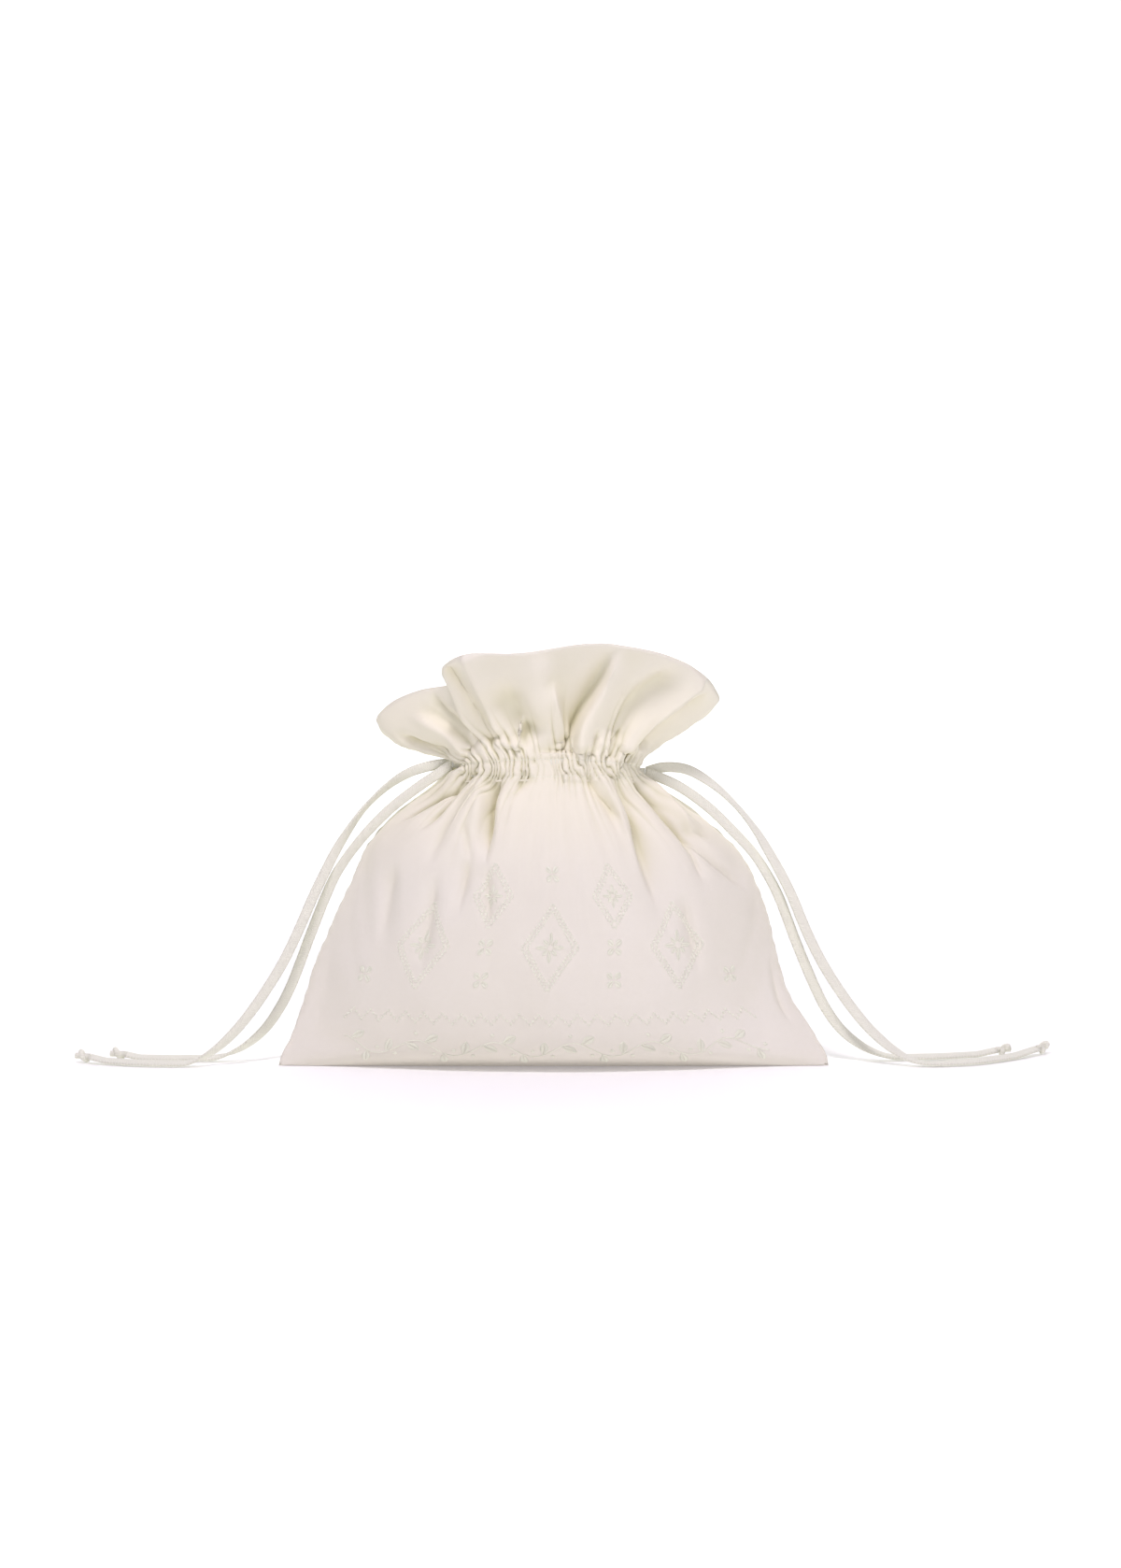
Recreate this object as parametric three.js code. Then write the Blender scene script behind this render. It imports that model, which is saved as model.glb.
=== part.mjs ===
// A gathered drawstring bag of cotton sateen that stands on a table.
// Millimetres, +Z up, front towards -Y, origin on the table under the middle of the bag.
// Two cloth panels are sewn together down the sides and along the bottom. Each runs from the bottom
// seam up the bag, through a gathered casing, and ends in a ruffle. Two flat drawstrings go once round
// inside the casing, one with both ends out at the left and one with both ends out at the right.

import * as THREE from "three";

// Cloth and clearances
const CLOTH = 1.2; // wall of a panel
const GAP = 0.3; // between pieces that are sewn or laid together
const SEAM_STEP = 0.0012; // share of a panel's width kept free at each side of the ruffle

// The casing and its drawstrings
const CASING_FOOT = 155.3;
const CASING_HEAD = 168.6;
const EYELET_HALF = 2.6; // half the slit in the side seam that lets the cords out
const LANE = 1.3; // how far each cord in an eyelet lies from its middle
const TAPE_WIDTH = 5.6;
const TAPE_THICK = 2.0;
const LOOP_TAPE = { width: 4.4, thick: 1.8 }; // the same tape, drawn tight inside the casing
const LOOP_INSET = CLOTH + 0.35 + LOOP_TAPE.thick / 2;
const LOOP_HEIGHT = { left: 164.2, right: 159.4 };
const STRIP_EDGE_INSET = CLOTH + GAP;
const STRIP_WALL_INSET = 4.5;
const STRIP_THICK = 1.0;
const STRIP_HEM = 1.0; // sewn edge of the strip above and below the channel

// Facets
const PANEL_COLUMNS = 36;
const SECTION_STEPS = 2;
const RUFFLE_ROWS = 6;
const RING_STEPS = 36;
const CORD_STEPS = 22;
const KNOT_SIDES = 10;
const SEAM_FADE = 0.055; // share of a panel's width beside a seam where folds and gathers die out

// Level sections of the bag from the table up. left, right, front and back are the reaches from the
// origin, seam is the side seam's place front to back, lens is 2 where the two panels meet in a sharp
// edge and 1 where the section is an ellipse, and crown is how much higher a panel's middle lies.
const SECTIONS = [
  { z: 0, left: 150.2, right: 150.2, front: 18, back: 36, seam: -14, lens: 2, crown: 0 },
  { z: 6, left: 148.4, right: 148.8, front: 31, back: 43.5, seam: -12.6, lens: 2, crown: 0 },
  { z: 18, left: 142.4, right: 141.8, front: 41.5, back: 47.5, seam: -9.4, lens: 1.9, crown: 0 },
  { z: 36, left: 136.4, right: 130, front: 47.5, back: 49.5, seam: -4.7, lens: 1.7, crown: 0 },
  { z: 54, left: 130.8, right: 123.6, front: 49.5, back: 49.8, seam: -1.2, lens: 1.5, crown: 0 },
  { z: 78, left: 120.6, right: 118, front: 49, back: 48.5, seam: 0, lens: 1.35, crown: 0 },
  { z: 103, left: 109.2, right: 109, front: 46.5, back: 45.5, seam: 0, lens: 1.25, crown: 0 },
  { z: 122, left: 100, right: 95.8, front: 42.5, back: 41.5, seam: 0, lens: 1.15, crown: 0.5 },
  { z: 139, left: 83.5, right: 74.6, front: 37, back: 36, seam: 0, lens: 1.1, crown: 1.5 },
  { z: 149.5, left: 67, right: 58.5, front: 31.5, back: 31, seam: 0, lens: 1.03, crown: 2.5 },
  { z: CASING_FOOT, left: 55, right: 50, front: 28.5, back: 28.5, seam: 0, lens: 1, crown: 3 },
  { z: CASING_HEAD, left: 54, right: 48.8, front: 28, back: 28, seam: 0, lens: 1, crown: 3 },
];
const CASING_SECTION = SECTIONS.length - 2;
const NECK_SECTION = SECTIONS.length - 1;

// The ruffle's rim, once round. at runs 0 to 1 over the front from the left seam to the right one and
// 1 to 2 back over the back. cup is how far the cloth runs outwards before it turns up, and stand is
// how far it first stands up from the casing.
const RIM = [
  { at: 0, x: -97.4, y: 16, z: 187.5, cup: 0.94, stand: 0 },
  { at: 0.07, x: -88, y: 2, z: 198, cup: 0.85, stand: 0 },
  { at: 0.13, x: -73, y: -8, z: 205, cup: 0.7, stand: 0 },
  { at: 0.175, x: -57, y: -19, z: 209, cup: 0.55, stand: 0 },
  { at: 0.22, x: -60.5, y: -33, z: 215.5, cup: 0.4, stand: 0 },
  { at: 0.27, x: -54.5, y: -42, z: 224, cup: 0.3, stand: 0 },
  { at: 0.32, x: -44, y: -46, z: 228, cup: 0.3, stand: 0 },
  { at: 0.4, x: -25, y: -47, z: 227, cup: 0.3, stand: 0 },
  { at: 0.48, x: -6, y: -46, z: 229, cup: 0.3, stand: 0 },
  { at: 0.56, x: 14, y: -44, z: 231.8, cup: 0.25, stand: 0 },
  { at: 0.64, x: 34, y: -43.5, z: 231, cup: 0.25, stand: 0 },
  { at: 0.73, x: 55, y: -40, z: 227.8, cup: 0.3, stand: 0 },
  { at: 0.81, x: 71, y: -33, z: 221.6, cup: 0.35, stand: 0 },
  { at: 0.88, x: 82, y: -23, z: 213.6, cup: 0.45, stand: 0.15 },
  { at: 0.94, x: 87.8, y: -8, z: 206, cup: 0.6, stand: 0.35 },
  { at: 1, x: 90.8, y: 13, z: 198, cup: 0.72, stand: 0.5 },
  { at: 1.08, x: 79, y: 25, z: 202, cup: 0.6, stand: 0.35 },
  { at: 1.17, x: 64, y: 38, z: 204, cup: 0.45, stand: 0.1 },
  { at: 1.27, x: 49, y: 44, z: 208, cup: 0.4, stand: 0 },
  { at: 1.36, x: 34, y: 40, z: 211, cup: 0.35, stand: 0 },
  { at: 1.45, x: 18, y: 46, z: 208, cup: 0.4, stand: 0 },
  { at: 1.54, x: 0, y: 48.5, z: 205, cup: 0.45, stand: 0 },
  { at: 1.63, x: -17, y: 43, z: 209, cup: 0.4, stand: 0 },
  { at: 1.72, x: -33, y: 42, z: 211, cup: 0.4, stand: 0 },
  { at: 1.8, x: -49, y: 47, z: 206, cup: 0.45, stand: 0 },
  { at: 1.87, x: -66, y: 40, z: 200, cup: 0.55, stand: 0 },
  { at: 1.94, x: -85, y: 29, z: 192, cup: 0.8, stand: 0 },
];

// Drawn folds of the bag below the casing: head and foot are places on the panel, lift is outwards.
const FOLDS = [
  { side: "front", head_x: -24, head_z: 158, foot_x: -36, foot_z: 116, lift: -4, width: 7 },
  { side: "front", head_x: -40, head_z: 158, foot_x: -52, foot_z: 112, lift: 3.2, width: 9 },
  { side: "front", head_x: 25, head_z: 158, foot_x: 57, foot_z: 84, lift: -3.6, width: 7 },
  { side: "front", head_x: 37, head_z: 158, foot_x: 70, foot_z: 92, lift: 3, width: 9 },
  { side: "front", head_x: 46, head_z: 158, foot_x: 104, foot_z: 92, lift: -3.2, width: 7 },
  { side: "front", head_x: 126, head_z: 52, foot_x: 131, foot_z: 18, lift: -2.5, width: 7 },
  { side: "back", head_x: 30, head_z: 158, foot_x: 44, foot_z: 100, lift: -3.6, width: 8 },
  { side: "back", head_x: 14, head_z: 158, foot_x: 20, foot_z: 104, lift: 3, width: 9 },
  { side: "back", head_x: -12, head_z: 158, foot_x: -20, foot_z: 108, lift: -3.4, width: 8 },
  { side: "back", head_x: -34, head_z: 158, foot_x: -68, foot_z: 92, lift: -3.4, width: 8 },
  { side: "back", head_x: -26, head_z: 158, foot_x: -48, foot_z: 100, lift: 2.6, width: 9 },
];

// Shares of a fold's length by which it has risen at the head and begins to die out at the foot.
const FOLD_FADE = { head: 0.2, foot: 0.45 };

// Folds of the ruffle, from the neck out to the rim, by their place along the panel.
const RUFFLE_FOLDS = [
  { side: "front", neck_at: 0.36, rim_at: 0.385, lift: -3.5, width: 0.04 },
  { side: "front", neck_at: 0.44, rim_at: 0.46, lift: 2.5, width: 0.04 },
  { side: "front", neck_at: 0.56, rim_at: 0.615, lift: -4.5, width: 0.03 },
  { side: "front", neck_at: 0.61, rim_at: 0.68, lift: 2.5, width: 0.035 },
  { side: "front", neck_at: 0.7, rim_at: 0.8, lift: -3.5, width: 0.04 },
  { side: "front", neck_at: 0.83, rim_at: 0.91, lift: 3, width: 0.03 },
  { side: "back", neck_at: 0.25, rim_at: 0.22, lift: -3, width: 0.035 },
  { side: "back", neck_at: 0.4, rim_at: 0.42, lift: -3.5, width: 0.035 },
  { side: "back", neck_at: 0.62, rim_at: 0.63, lift: -3.5, width: 0.035 },
  { side: "back", neck_at: 0.72, rim_at: 0.76, lift: 2.5, width: 0.04 },
];

// A ruffle fold's height follows this stretch of a half wave from the neck to the rim.
const RUFFLE_ARCH = { neck: 0.15, rim: 0.95 };

// Small gathers where the drawstrings pull the neck together.
const GATHERS = { count: 9, height: 2.6, wander: 0.12, uneven: 0.2, fade_below: 34, ruffle_share: 0.55 };

// Free ends of the drawstrings, from the eyelet to the knot. face is the turn of the tape's flat side:
// 0 towards the front, 90 flat on the table.
const CORDS = {
  left_upper: [
    { x: -55.3, y: 1.3, z: 164.2, face: 0 },
    { x: -65, y: 1.2, z: 163.2, face: 0 },
    { x: -77.8, y: 0.1, z: 159.6, face: 15 },
    { x: -89.6, y: -1.2, z: 152.6, face: 45 },
    { x: -102.7, y: -2.4, z: 140.4, face: 62 },
    { x: -111.7, y: -3.6, z: 128.3, face: 45 },
    { x: -119.2, y: -5, z: 116.1, face: 22 },
    { x: -125.4, y: -6.3, z: 103.9, face: 8 },
    { x: -131.2, y: -7.6, z: 91.8, face: 0 },
    { x: -136.5, y: -8.8, z: 79.6, face: 0 },
    { x: -142, y: -10, z: 67.4, face: 0 },
    { x: -148.2, y: -11.2, z: 55.2, face: 0 },
    { x: -155.6, y: -12.4, z: 43.1, face: 4 },
    { x: -164, y: -13.6, z: 30.9, face: 8 },
    { x: -174, y: -15, z: 18.7, face: 20 },
    { x: -186, y: -16.4, z: 8, face: 48 },
    { x: -197.5, y: -17.6, z: 2.4, face: 80 },
    { x: -209.5, y: -18, z: 1.3, face: 90 },
    { x: -225.5, y: -16.6, z: 1.3, face: 90 },
    { x: -241, y: -12, z: 1.4, face: 78 },
    { x: -254, y: -7.6, z: 3.4, face: 60 },
  ],
  left_lower: [
    { x: -55.3, y: -1.3, z: 164.2, face: 0 },
    { x: -62, y: -2.4, z: 159.4, face: 0 },
    { x: -72.4, y: -3.4, z: 152.6, face: 3 },
    { x: -87.8, y: -4, z: 140.8, face: 6 },
    { x: -100.4, y: -3.8, z: 128.4, face: 14 },
    { x: -110.8, y: -3.2, z: 115.9, face: 24 },
    { x: -119, y: -2.7, z: 103.5, face: 16 },
    { x: -124.8, y: -2.4, z: 91.1, face: 6 },
    { x: -129.8, y: -2, z: 78.7, face: 0 },
    { x: -134.6, y: -1.8, z: 66.4, face: 0 },
    { x: -139.2, y: -1.6, z: 54, face: 0 },
    { x: -144.2, y: -1.5, z: 41.6, face: 3 },
    { x: -150.6, y: -1.4, z: 29.2, face: 8 },
    { x: -159.6, y: -1.4, z: 16.8, face: 24 },
    { x: -172, y: -1.5, z: 7, face: 56 },
    { x: -185, y: -1.8, z: 2.2, face: 84 },
    { x: -198, y: -2.2, z: 1.3, face: 90 },
    { x: -212, y: -2.2, z: 1.3, face: 90 },
    { x: -225, y: -1, z: 1.5, face: 80 },
    { x: -235.4, y: 0.2, z: 3.4, face: 60 },
  ],
  right_upper: [
    { x: 50.2, y: 1.3, z: 159.4, face: 0 },
    { x: 59.4, y: 1.4, z: 161.9, face: 0 },
    { x: 72.6, y: 0.4, z: 160.9, face: 12 },
    { x: 86.9, y: -0.9, z: 152.8, face: 45 },
    { x: 100.4, y: -2, z: 140.4, face: 66 },
    { x: 110.1, y: -3.1, z: 128.2, face: 50 },
    { x: 117.6, y: -4.2, z: 116, face: 24 },
    { x: 124.4, y: -5.3, z: 103.8, face: 8 },
    { x: 130.4, y: -6.4, z: 91.6, face: 0 },
    { x: 135.4, y: -7.4, z: 79.4, face: 0 },
    { x: 140.8, y: -8.5, z: 67.2, face: 0 },
    { x: 147.2, y: -9.6, z: 55, face: 0 },
    { x: 154.8, y: -10.7, z: 42.8, face: 4 },
    { x: 163.5, y: -11.8, z: 30.6, face: 8 },
    { x: 174, y: -12.9, z: 18.4, face: 20 },
    { x: 186.5, y: -14.6, z: 8, face: 48 },
    { x: 198, y: -16.2, z: 2.4, face: 80 },
    { x: 210, y: -16.8, z: 1.3, face: 90 },
    { x: 229, y: -12.6, z: 1.3, face: 90 },
    { x: 249.5, y: 0.6, z: 1.5, face: 80 },
    { x: 268.5, y: 19, z: 3.2, face: 62 },
  ],
  right_lower: [
    { x: 50.2, y: -1.3, z: 159.4, face: 0 },
    { x: 57.4, y: -2.4, z: 157, face: 0 },
    { x: 69, y: -3.2, z: 151.6, face: 3 },
    { x: 84.6, y: -3.2, z: 140.4, face: 8 },
    { x: 97.4, y: -2.8, z: 128, face: 16 },
    { x: 108.8, y: -2, z: 115.6, face: 26 },
    { x: 117, y: -1.4, z: 103.2, face: 18 },
    { x: 123.4, y: -0.9, z: 90.8, face: 6 },
    { x: 128.2, y: -0.6, z: 78.4, face: 0 },
    { x: 132.9, y: -0.4, z: 66, face: 0 },
    { x: 138, y: -0.3, z: 53.6, face: 0 },
    { x: 143.4, y: -0.2, z: 41.1, face: 3 },
    { x: 149.8, y: -0.1, z: 28.6, face: 8 },
    { x: 159.2, y: 0, z: 16.2, face: 24 },
    { x: 172, y: 0.2, z: 6.8, face: 56 },
    { x: 185, y: 0.6, z: 2.2, face: 84 },
    { x: 198, y: 1.4, z: 1.3, face: 90 },
    { x: 214, y: 3.6, z: 1.3, face: 90 },
    { x: 230.5, y: 8, z: 1.5, face: 80 },
    { x: 245, y: 13.2, z: 3.4, face: 60 },
  ],
};

// Side outline of a stopper knot along its cord, with the short cut end past it.
const KNOT_OUTLINE = [
  { along: 0, radius: 0 },
  { along: 0, radius: 2.2 },
  { along: 1.2, radius: 3.3 },
  { along: 2.8, radius: 3.5 },
  { along: 3.8, radius: 3.0 },
  { along: 5, radius: 3.4 },
  { along: 6.4, radius: 3.0 },
  { along: 7.2, radius: 1.9 },
  { along: 9, radius: 1.7 },
  { along: 9, radius: 0 },
];

const clothMaterial = new THREE.MeshStandardMaterial({
  color: 0xece4d8,
  roughness: 0.62,
  metalness: 0,
});
const cordMaterial = new THREE.MeshStandardMaterial({
  color: 0xe2ddd0,
  roughness: 0.8,
  metalness: 0,
});

const FRONT = -1;
const BACK = 1;
const sideName = (side) => (side === FRONT ? "front" : "back");
const mix = (a, b, share) => a + (b - a) * share;
const bump = (distance) => Math.exp(-distance * distance);
const ramp = THREE.MathUtils.smoothstep;
const awayFromSeams = (across) => (1 - bump(across / SEAM_FADE)) * (1 - bump((1 - across) / SEAM_FADE));

// A smooth value of one column between rows i and i + 1, at the given share of the way.
function smoothColumn(before, from, to, after, share) {
  const s2 = share * share;
  const s3 = s2 * share;
  return (
    0.5 *
    (2 * from +
      (to - before) * share +
      (2 * before - 5 * from + 4 * to - after) * s2 +
      (3 * from - before - 3 * to + after) * s3)
  );
}

function sectionAt(station) {
  const i = Math.min(Math.floor(station), NECK_SECTION - 1);
  const row = (k) => SECTIONS[THREE.MathUtils.clamp(k, 0, NECK_SECTION)];
  const made = {};
  for (const column of Object.keys(SECTIONS[0]))
    made[column] = smoothColumn(
      row(i - 1)[column],
      row(i)[column],
      row(i + 1)[column],
      row(i + 2)[column],
      station - i,
    );
  made.z = Math.max(0, made.z);
  return made;
}

function rimAt(at) {
  const turns = ((at % 2) + 2) % 2;
  let i = RIM.length - 1;
  while (RIM[i].at > turns) i -= 1;
  const row = (k) => RIM[(k + RIM.length) % RIM.length];
  const end = i + 1 < RIM.length ? RIM[i + 1].at : 2;
  const share = (turns - RIM[i].at) / (end - RIM[i].at);
  const made = {};
  for (const column of ["x", "y", "z", "cup", "stand"])
    made[column] = smoothColumn(
      row(i - 1)[column],
      row(i)[column],
      row(i + 1)[column],
      row(i + 2)[column],
      share,
    );
  return made;
}

// How far the small gathers stand out, at a place along the panel: a wave of uneven pitch and height.
function gatherLift(across) {
  const wander = GATHERS.wander * Math.sin(5.3 * Math.PI * across);
  const wave = 0.5 - 0.5 * Math.cos(2 * Math.PI * (GATHERS.count * across + wander));
  const uneven = 1 - GATHERS.uneven * (1 - Math.sin(5.4 * Math.PI * across));
  return GATHERS.height * wave * uneven * awayFromSeams(across);
}

function foldLift(side, x, z) {
  let lift = 0;
  for (const fold of FOLDS) {
    if (fold.side !== sideName(side) || z > fold.head_z) continue;
    const share = (fold.head_z - z) / (fold.head_z - fold.foot_z);
    if (share > 1) continue;
    const middle = mix(fold.head_x, fold.foot_x, share);
    const fade = ramp(share, 0, FOLD_FADE.head) * (1 - ramp(share, FOLD_FADE.foot, 1));
    lift += fold.lift * fade * bump((x - middle) / fold.width);
  }
  return lift;
}

function ruffleFoldLift(side, across, rise) {
  let lift = 0;
  for (const fold of RUFFLE_FOLDS) {
    if (fold.side !== sideName(side)) continue;
    const middle = mix(fold.neck_at, fold.rim_at, rise);
    const arch = Math.sin(Math.PI * mix(RUFFLE_ARCH.neck, RUFFLE_ARCH.rim, rise));
    lift += fold.lift * arch * bump((across - middle) / fold.width);
  }
  return lift;
}

// The outward direction of an elliptical section, level.
function outward(side, section, turn) {
  const half = Math.cos(turn) > 0 ? section.left : section.right;
  const deep = side === FRONT ? section.front : section.back;
  return new THREE.Vector3(-Math.cos(turn) / half, (side * Math.sin(turn)) / deep, 0).normalize();
}

// A point of a level section with no folds, half of the slit away from the side seam at its ends.
function sectionPoint(side, section, turn, slit) {
  const half = Math.cos(turn) > 0 ? section.left : section.right;
  const reach = side === FRONT ? section.front : section.back;
  const deep = reach - side * section.seam - slit;
  const swell = Math.pow(Math.max(0, Math.sin(turn)), section.lens);
  return new THREE.Vector3(
    -half * Math.cos(turn),
    section.seam + side * (slit + deep * swell),
    section.z + section.crown * Math.sin(turn) ** 2,
  );
}

// Half the gap between the panels at the side seam: open as an eyelet along the casing.
function seamHalf(section, station) {
  const closed = GAP / 2 + CLOTH * (section.lens - 1);
  return station >= CASING_SECTION ? EYELET_HALF : closed;
}

function bagSkin(side, across, station) {
  const section = sectionAt(station);
  const turn = Math.PI * across;
  const point = sectionPoint(side, section, turn, seamHalf(section, station));
  const drawn = ramp(section.z, CASING_FOOT - GATHERS.fade_below, CASING_FOOT);
  const folds = foldLift(side, point.x, point.z) * awayFromSeams(across);
  const lift = gatherLift(across) * drawn * drawn + folds;
  return point.addScaledVector(outward(side, section, turn), lift);
}

function ruffleSkin(side, across, rise) {
  const inside = mix(SEAM_STEP, 1 - SEAM_STEP, across);
  const neckSection = sectionAt(NECK_SECTION);
  const turn = Math.PI * inside;
  const neck = sectionPoint(side, neckSection, turn, GAP / 2);
  const rim = rimAt(side === FRONT ? inside : 2 - inside);
  const control = new THREE.Vector3(
    mix(neck.x, rim.x, rim.cup),
    mix(neck.y, rim.y, rim.cup),
    mix(neck.z, rim.z, 1 - rim.cup),
  );
  const upright = neck.clone().setZ(mix(neck.z, rim.z, 0.5));
  const leaving = neck.clone().lerp(control, 2 / 3).lerp(upright, rim.stand);
  const end = new THREE.Vector3(rim.x, rim.y, rim.z);
  const profile = new THREE.CubicBezierCurve3(neck, leaving, control.lerp(end, 1 / 3), end);
  const fade = 1 - ramp(rise, 0, GATHERS.ruffle_share);
  const folds = ruffleFoldLift(side, across, rise) * awayFromSeams(across);
  const lift = gatherLift(across) * fade + folds;
  return profile.getPoint(rise).addScaledVector(outward(side, neckSection, turn), lift);
}

// Places of a panel's rows among the sections, from the foot to the casing's head.
const BAG_STATIONS = Array.from(
  { length: NECK_SECTION * SECTION_STEPS + 1 },
  (_, i) => i / SECTION_STEPS,
);

// The rows of a panel's outer skin, from the bottom seam to the rim.
function panelRows(side) {
  const columns = Array.from({ length: PANEL_COLUMNS + 1 }, (_, i) => i / PANEL_COLUMNS);
  const foot = sectionAt(0);
  const bottomSeam = columns.map((across) =>
    sectionPoint(side, foot, Math.PI * across, 0).setY(foot.seam + (side * GAP) / 2),
  );
  const rows = [bottomSeam];
  for (const station of BAG_STATIONS)
    rows.push(columns.map((across) => bagSkin(side, across, station)));
  for (let i = 1; i <= RUFFLE_ROWS; i++)
    rows.push(columns.map((across) => ruffleSkin(side, across, i / RUFFLE_ROWS)));
  return rows;
}

// The mean outward direction at each point of a grid of rows.
function rowNormals(rows, flip) {
  const normals = rows.map((row) => row.map(() => new THREE.Vector3()));
  const edgeA = new THREE.Vector3();
  const edgeB = new THREE.Vector3();
  for (let j = 0; j + 1 < rows.length; j++)
    for (let i = 0; i + 1 < rows[j].length; i++) {
      edgeA.subVectors(rows[j + 1][i + 1], rows[j][i]);
      edgeB.subVectors(rows[j + 1][i], rows[j][i + 1]);
      const face = edgeA.clone().cross(edgeB).multiplyScalar(flip ? -1 : 1).normalize();
      for (const [dj, di] of [[0, 0], [0, 1], [1, 0], [1, 1]]) normals[j + dj][i + di].add(face);
    }
  normals.forEach((row) => row.forEach((normal) => normal.normalize()));
  return normals;
}

// A closed solid from an indexed list of points and faces of three or four corners.
function solidOf(points, faces) {
  const index = [];
  for (const face of faces) {
    index.push(face[0], face[1], face[2]);
    if (face.length === 4) index.push(face[0], face[2], face[3]);
  }
  const geometry = new THREE.BufferGeometry();
  geometry.setAttribute(
    "position",
    new THREE.Float32BufferAttribute(points.flatMap((p) => [p.x, p.y, p.z]), 3),
  );
  geometry.setIndex(index);
  geometry.computeVertexNormals();
  return geometry;
}

// A wall between two grids of the same rows and columns.
function wallBetween(outer, inner, flip) {
  const height = outer.length;
  const width = outer[0].length;
  const points = [...outer.flat(), ...inner.flat()];
  const at = (layer, j, i) => layer * height * width + j * width + i;
  const faces = [];
  const add = (...corners) => faces.push(flip ? corners.reverse() : corners);
  for (let j = 0; j + 1 < height; j++)
    for (let i = 0; i + 1 < width; i++) {
      add(at(0, j, i), at(0, j, i + 1), at(0, j + 1, i + 1), at(0, j + 1, i));
      add(at(1, j, i), at(1, j + 1, i), at(1, j + 1, i + 1), at(1, j, i + 1));
    }
  for (let i = 0; i + 1 < width; i++) {
    add(at(0, 0, i), at(1, 0, i), at(1, 0, i + 1), at(0, 0, i + 1));
    add(at(0, height - 1, i), at(0, height - 1, i + 1), at(1, height - 1, i + 1), at(1, height - 1, i));
  }
  for (let j = 0; j + 1 < height; j++) {
    add(at(0, j, 0), at(0, j + 1, 0), at(1, j + 1, 0), at(1, j, 0));
    add(at(0, j, width - 1), at(1, j, width - 1), at(1, j + 1, width - 1), at(0, j + 1, width - 1));
  }
  return solidOf(points, faces);
}

function panelSolids() {
  const made = {};
  const rows = { [FRONT]: panelRows(FRONT), [BACK]: panelRows(BACK) };
  const normals = {
    [FRONT]: rowNormals(rows[FRONT], false),
    [BACK]: rowNormals(rows[BACK], true),
  };
  // The two panels share one direction along the ruffle's side seams, so that their edges lie flush.
  const firstRuffleRow = 1 + BAG_STATIONS.length;
  for (let j = firstRuffleRow; j < rows[FRONT].length; j++)
    for (const i of [0, PANEL_COLUMNS]) {
      const shared = normals[FRONT][j][i].clone().add(normals[BACK][j][i]).normalize();
      normals[FRONT][j][i].copy(shared);
      normals[BACK][j][i].copy(shared);
    }
  for (const side of [FRONT, BACK]) {
    const inner = rows[side].map((row, j) =>
      row.map((point, i) => {
        const moved = point.clone().addScaledVector(normals[side][j][i], -CLOTH);
        if (j === 0) moved.set(point.x, point.y, CLOTH);
        if (j < firstRuffleRow) {
          const clear = sectionAt(BAG_STATIONS[Math.max(0, j - 1)]).seam + (side * GAP) / 2;
          moved.y = side === FRONT ? Math.min(moved.y, clear) : Math.max(moved.y, clear);
        }
        return moved;
      }),
    );
    made[side] = wallBetween(rows[side], inner, side === BACK);
  }
  return made;
}

// A level ring inside the casing, drawn in from the panels by inset.
function ringPoint(share, inset, z) {
  const turns = 2 * share;
  const side = turns < 1 ? FRONT : BACK;
  const across = side === FRONT ? turns : 2 - turns;
  const station = CASING_SECTION + (z - CASING_FOOT) / (CASING_HEAD - CASING_FOOT);
  const section = { ...sectionAt(THREE.MathUtils.clamp(station, CASING_SECTION, NECK_SECTION)), z };
  const turn = Math.PI * across;
  const point = sectionPoint(side, section, turn, 0);
  return point.addScaledVector(outward(side, section, turn), -inset);
}

// A solid swept through closed rings of points; open ends are capped.
function sweptSolid(rings, closed) {
  const count = rings[0].length;
  const points = rings.flat();
  const faces = [];
  const last = closed ? rings.length : rings.length - 1;
  for (let j = 0; j < last; j++) {
    const next = (j + 1) % rings.length;
    for (let i = 0; i < count; i++) {
      const k = (i + 1) % count;
      faces.push([j * count + i, j * count + k, next * count + k, next * count + i]);
    }
  }
  if (!closed)
    for (let i = 1; i + 1 < count; i++) {
      const end = (rings.length - 1) * count;
      faces.push([0, i + 1, i], [end, end + i, end + i + 1]);
    }
  return solidOf(points, faces);
}

function casingSolid() {
  const slope = 0.4; // rise of the strip from its sewn edge to the channel's wall
  const profile = [
    { inset: STRIP_WALL_INSET + STRIP_THICK, z: CASING_FOOT - slope },
    { inset: STRIP_WALL_INSET + STRIP_THICK, z: CASING_HEAD + slope },
    { inset: STRIP_EDGE_INSET, z: CASING_HEAD + STRIP_HEM },
    { inset: STRIP_EDGE_INSET, z: CASING_HEAD },
    { inset: STRIP_WALL_INSET, z: CASING_HEAD - slope },
    { inset: STRIP_WALL_INSET, z: CASING_FOOT + slope },
    { inset: STRIP_EDGE_INSET, z: CASING_FOOT },
    { inset: STRIP_EDGE_INSET, z: CASING_FOOT - STRIP_HEM },
  ];
  const rings = [];
  for (let j = 0; j < RING_STEPS; j++)
    rings.push(profile.map(({ inset, z }) => ringPoint(j / RING_STEPS, inset, z)));
  return sweptSolid(rings, true);
}

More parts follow.
